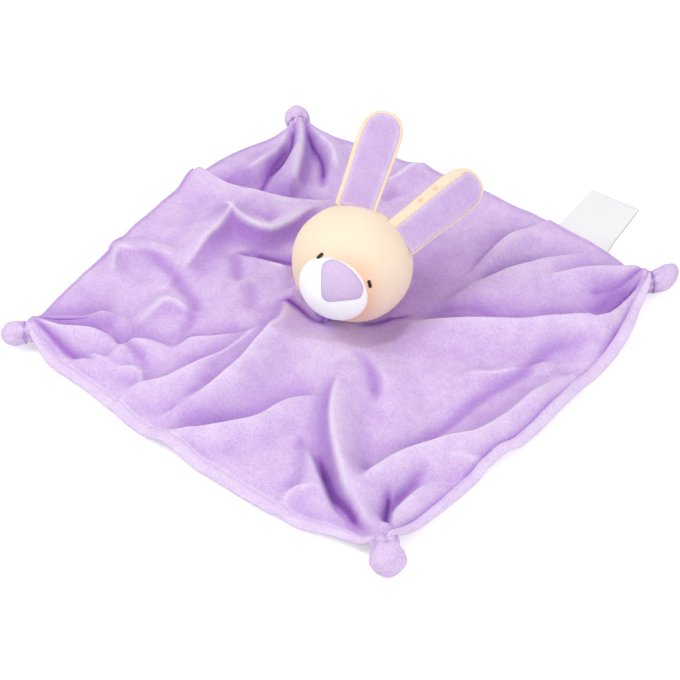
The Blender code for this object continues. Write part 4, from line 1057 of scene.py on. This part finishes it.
def corner_frame(across, back):
    """A frame with z out along the corner, x down and y to the side, at the end of the blanket's cloth."""
    outward = Vector((across, back, 0)).normalized()
    spot = Vector((*corner_points()[(across, back)], 0)) * MM + outward * 0.0003
    spot.z = KNOT_HEIGHT
    down = Vector((0, 0, -1))
    side = outward.cross(down)
    turn = Matrix((down, side, outward)).transposed()
    return Matrix.Translation(spot) @ turn.to_4x4()


def turned_cloth(name, profile, frame_matrix, pleats, depth, seed, squeeze, bend=0):
    """A turned shape of cloth with pleats; squeeze flattens it, and bend turns it in degrees."""
    profile = through(profile, 0.5)[:, :2]
    turn = np.arange(CLOTH_SIDES) / CLOTH_SIDES * math.tau
    pleat = np.cos(turn * pleats + seed + 0.7 * np.sin(turn + seed))
    points = np.vstack([turned_ring(radius, height, depth(height) * pleat, squeeze(height))
                        for radius, height in profile])
    # painted shade in the hollows of the pleats
    shade = np.concatenate([np.clip(-pleat, 0, 1) * depth(height) * 4 for _, height in profile])
    reach = np.linalg.norm(points, axis=1, keepdims=True)
    lumps = ripples(points[:, [0, 2]] + points[:, [1, 0]] * 0.7, 14, 6, seed) * 0.22
    points = points + points / np.maximum(reach, 1) * lumps[:, None]
    tip = max(points[:, 2].max(), 1)
    angle = math.radians(bend) * np.clip(points[:, 2] / tip, 0, 1)
    across_way, out_way = points[:, 1].copy(), points[:, 2].copy()
    bent = out_way > 0
    points[:, 1] = np.where(bent, across_way * np.cos(angle) - out_way * np.sin(angle * 0.7), across_way)
    points[:, 2] = np.where(bent, out_way * np.cos(angle * 0.7) + across_way * np.sin(angle), out_way)
    world = carried(points, frame_matrix)
    world[:, 2] = np.maximum(world[:, 2], KNOT_FLOOR)
    shade = np.clip(shade, 0, 1)
    # painted highlight, fading towards the collar's foot and weaker in the pleats' shade
    pale = 0.15 * eased((points[:, 2] + 6) / 8) * (1 - shade)
    return piece(name, world, cloth_faces(len(profile)), lilac_velour, shade, pale)


for corner, (across, back, wide, long, bend, neck, pleats, seed) in KNOTS.items():
    frame_here = corner_frame(across, back)
    half = long / 2
    opening = math.asin(neck / wide * 0.98)
    ball_profile = [(neck * 0.8, 0.2), (neck * 0.94, 0.7)]
    for slope in np.linspace(opening, math.pi - 0.02, KNOT_STEPS):
        height = BALL_START + half * (math.cos(opening) - math.cos(slope))
        ball_profile.append((wide * math.sin(slope), height))
    knot = turned_cloth(f"knot_ball_{corner}", ball_profile, frame_here, pleats,
                        lambda height: 0.1 * math.exp(-((height - 0.6) / 3.4) ** 2), seed, lambda height: 1.0,
                        bend)
    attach(knot, f"corner_{corner}")
    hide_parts(f"knot_{corner}")
    collar_profile = [(1.0, -10.5), (neck - 1.8, -8.2), (neck - 0.4, -5.6), (neck + 0.3, -3.2),
                      (neck, -0.6), (neck * 0.93, 0.6), (neck * 0.95, 1.5)]
    collar = turned_cloth(f"corner_gathers_{corner}", collar_profile, frame_here, pleats,
                          lambda height: 0.05 + 0.05 * eased((1.5 - height) / 5), seed,
                          lambda height: 1 - 0.15 * eased(-height / 8))
    ends = (frame_here @ Vector((0, 0, height)) for height in COLLAR_BEND)
    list(ends)
    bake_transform(collar)
print("knots:", list(KNOTS))

# %% [markdown]
# ## Threads
# The bindings at the neck and the knots are twisted thread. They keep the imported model's own shapes and get a
# finish with a fine slanting twist.

# %% Finish the bindings
lilac_thread = Finish("lilac_twisted_thread", Roughness=0.7, Sheen_Weight=0.2)
strand = lilac_thread.stripes("DIAGONAL", 900.0, 0.6)
lilac_thread.feed(Base_Color=lilac_thread.mixed(strand, tone(158, 118, 202), tone(206, 178, 236)),
                  Normal=lilac_thread.bumped(strand, 0.12))
bindings = ["neck_thread"] + [f"knot_thread_{corner}" for corner in KNOTS]
for name in bindings:
    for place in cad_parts[name].material_slots:
        place.material = lilac_thread.material
print("bindings:", bindings)

# %% [markdown]
# ## The ribbon label
# A white satin ribbon, folded double, is sewn into the back seam. It stands up a little and curls, because
# satin ribbon is springy. One strip of points goes out along the upper ply, round the fold and back.

# %% Build the label
LABEL_WIDE, LABEL_LONG, ROOT = 36.5, 30.0, 1.6
LABEL_FRAME = (Matrix.Translation((0.07576, 0.1386, 0.00155)) @ Matrix.Rotation(math.asin(-0.113), 4, "Z")
               @ tilted(25, "X"))
FOLD_START, HALF_GAP = 0.94, 0.55       # where the ribbon begins to turn back, and half the gap between plies
ASIDE, CURL, RISE = 3.5, 0.9, 3.5
ROWS, COLUMNS = 80, 40
satin = Finish("white_satin_ribbon", Roughness=0.38, Sheen_Weight=0.15, Specular_IOR_Level=0.4)
ribs = satin.stripes("X", 700.0, 0.4)
weave = satin.noise(0.5, detail=2)
satin.feed(Base_Color=satin.mixed(weave, (0.78, 0.78, 0.79), (0.85, 0.85, 0.85)),
           Normal=satin.bumped(ribs, 0.05, Normal=satin.bumped(weave, 0.05)))
ribbon = []
for row in range(ROWS + 1):
    share = row / ROWS
    away = 1 - abs(share * 2 - 1)
    bend = np.clip((away - FOLD_START) / (1 - FOLD_START), 0, 1)
    reach = (LABEL_LONG + ROOT) * away - ROOT
    half_gap = HALF_GAP * math.sqrt(max(1 - bend ** 2, 0))
    upper = 1 if share < 0.5 else -1
    out = reach / LABEL_LONG
    for column in range(COLUMNS + 1):
        side = column / COLUMNS * 2 - 1
        curl = CURL * out ** 2 * side ** 2 + 0.35 * math.sin(side * 2.4 + 1) * out
        raised = (1 + side) / 2 * (2 + RISE * out) * min(max(reach, 0) / 6, 1) - 1.2 * out * (1 - side) / 2
        ribbon.append((side * LABEL_WIDE / 2 - ASIDE + 1.5 * out, reach, upper * half_gap + curl + raised))
label = piece("ribbon_label", carried(ribbon, LABEL_FRAME), quads(ROWS + 1, COLUMNS + 1), satin.material)
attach(label, "label")
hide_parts("label_ribbon")
print("label:", len(ribbon), "points")
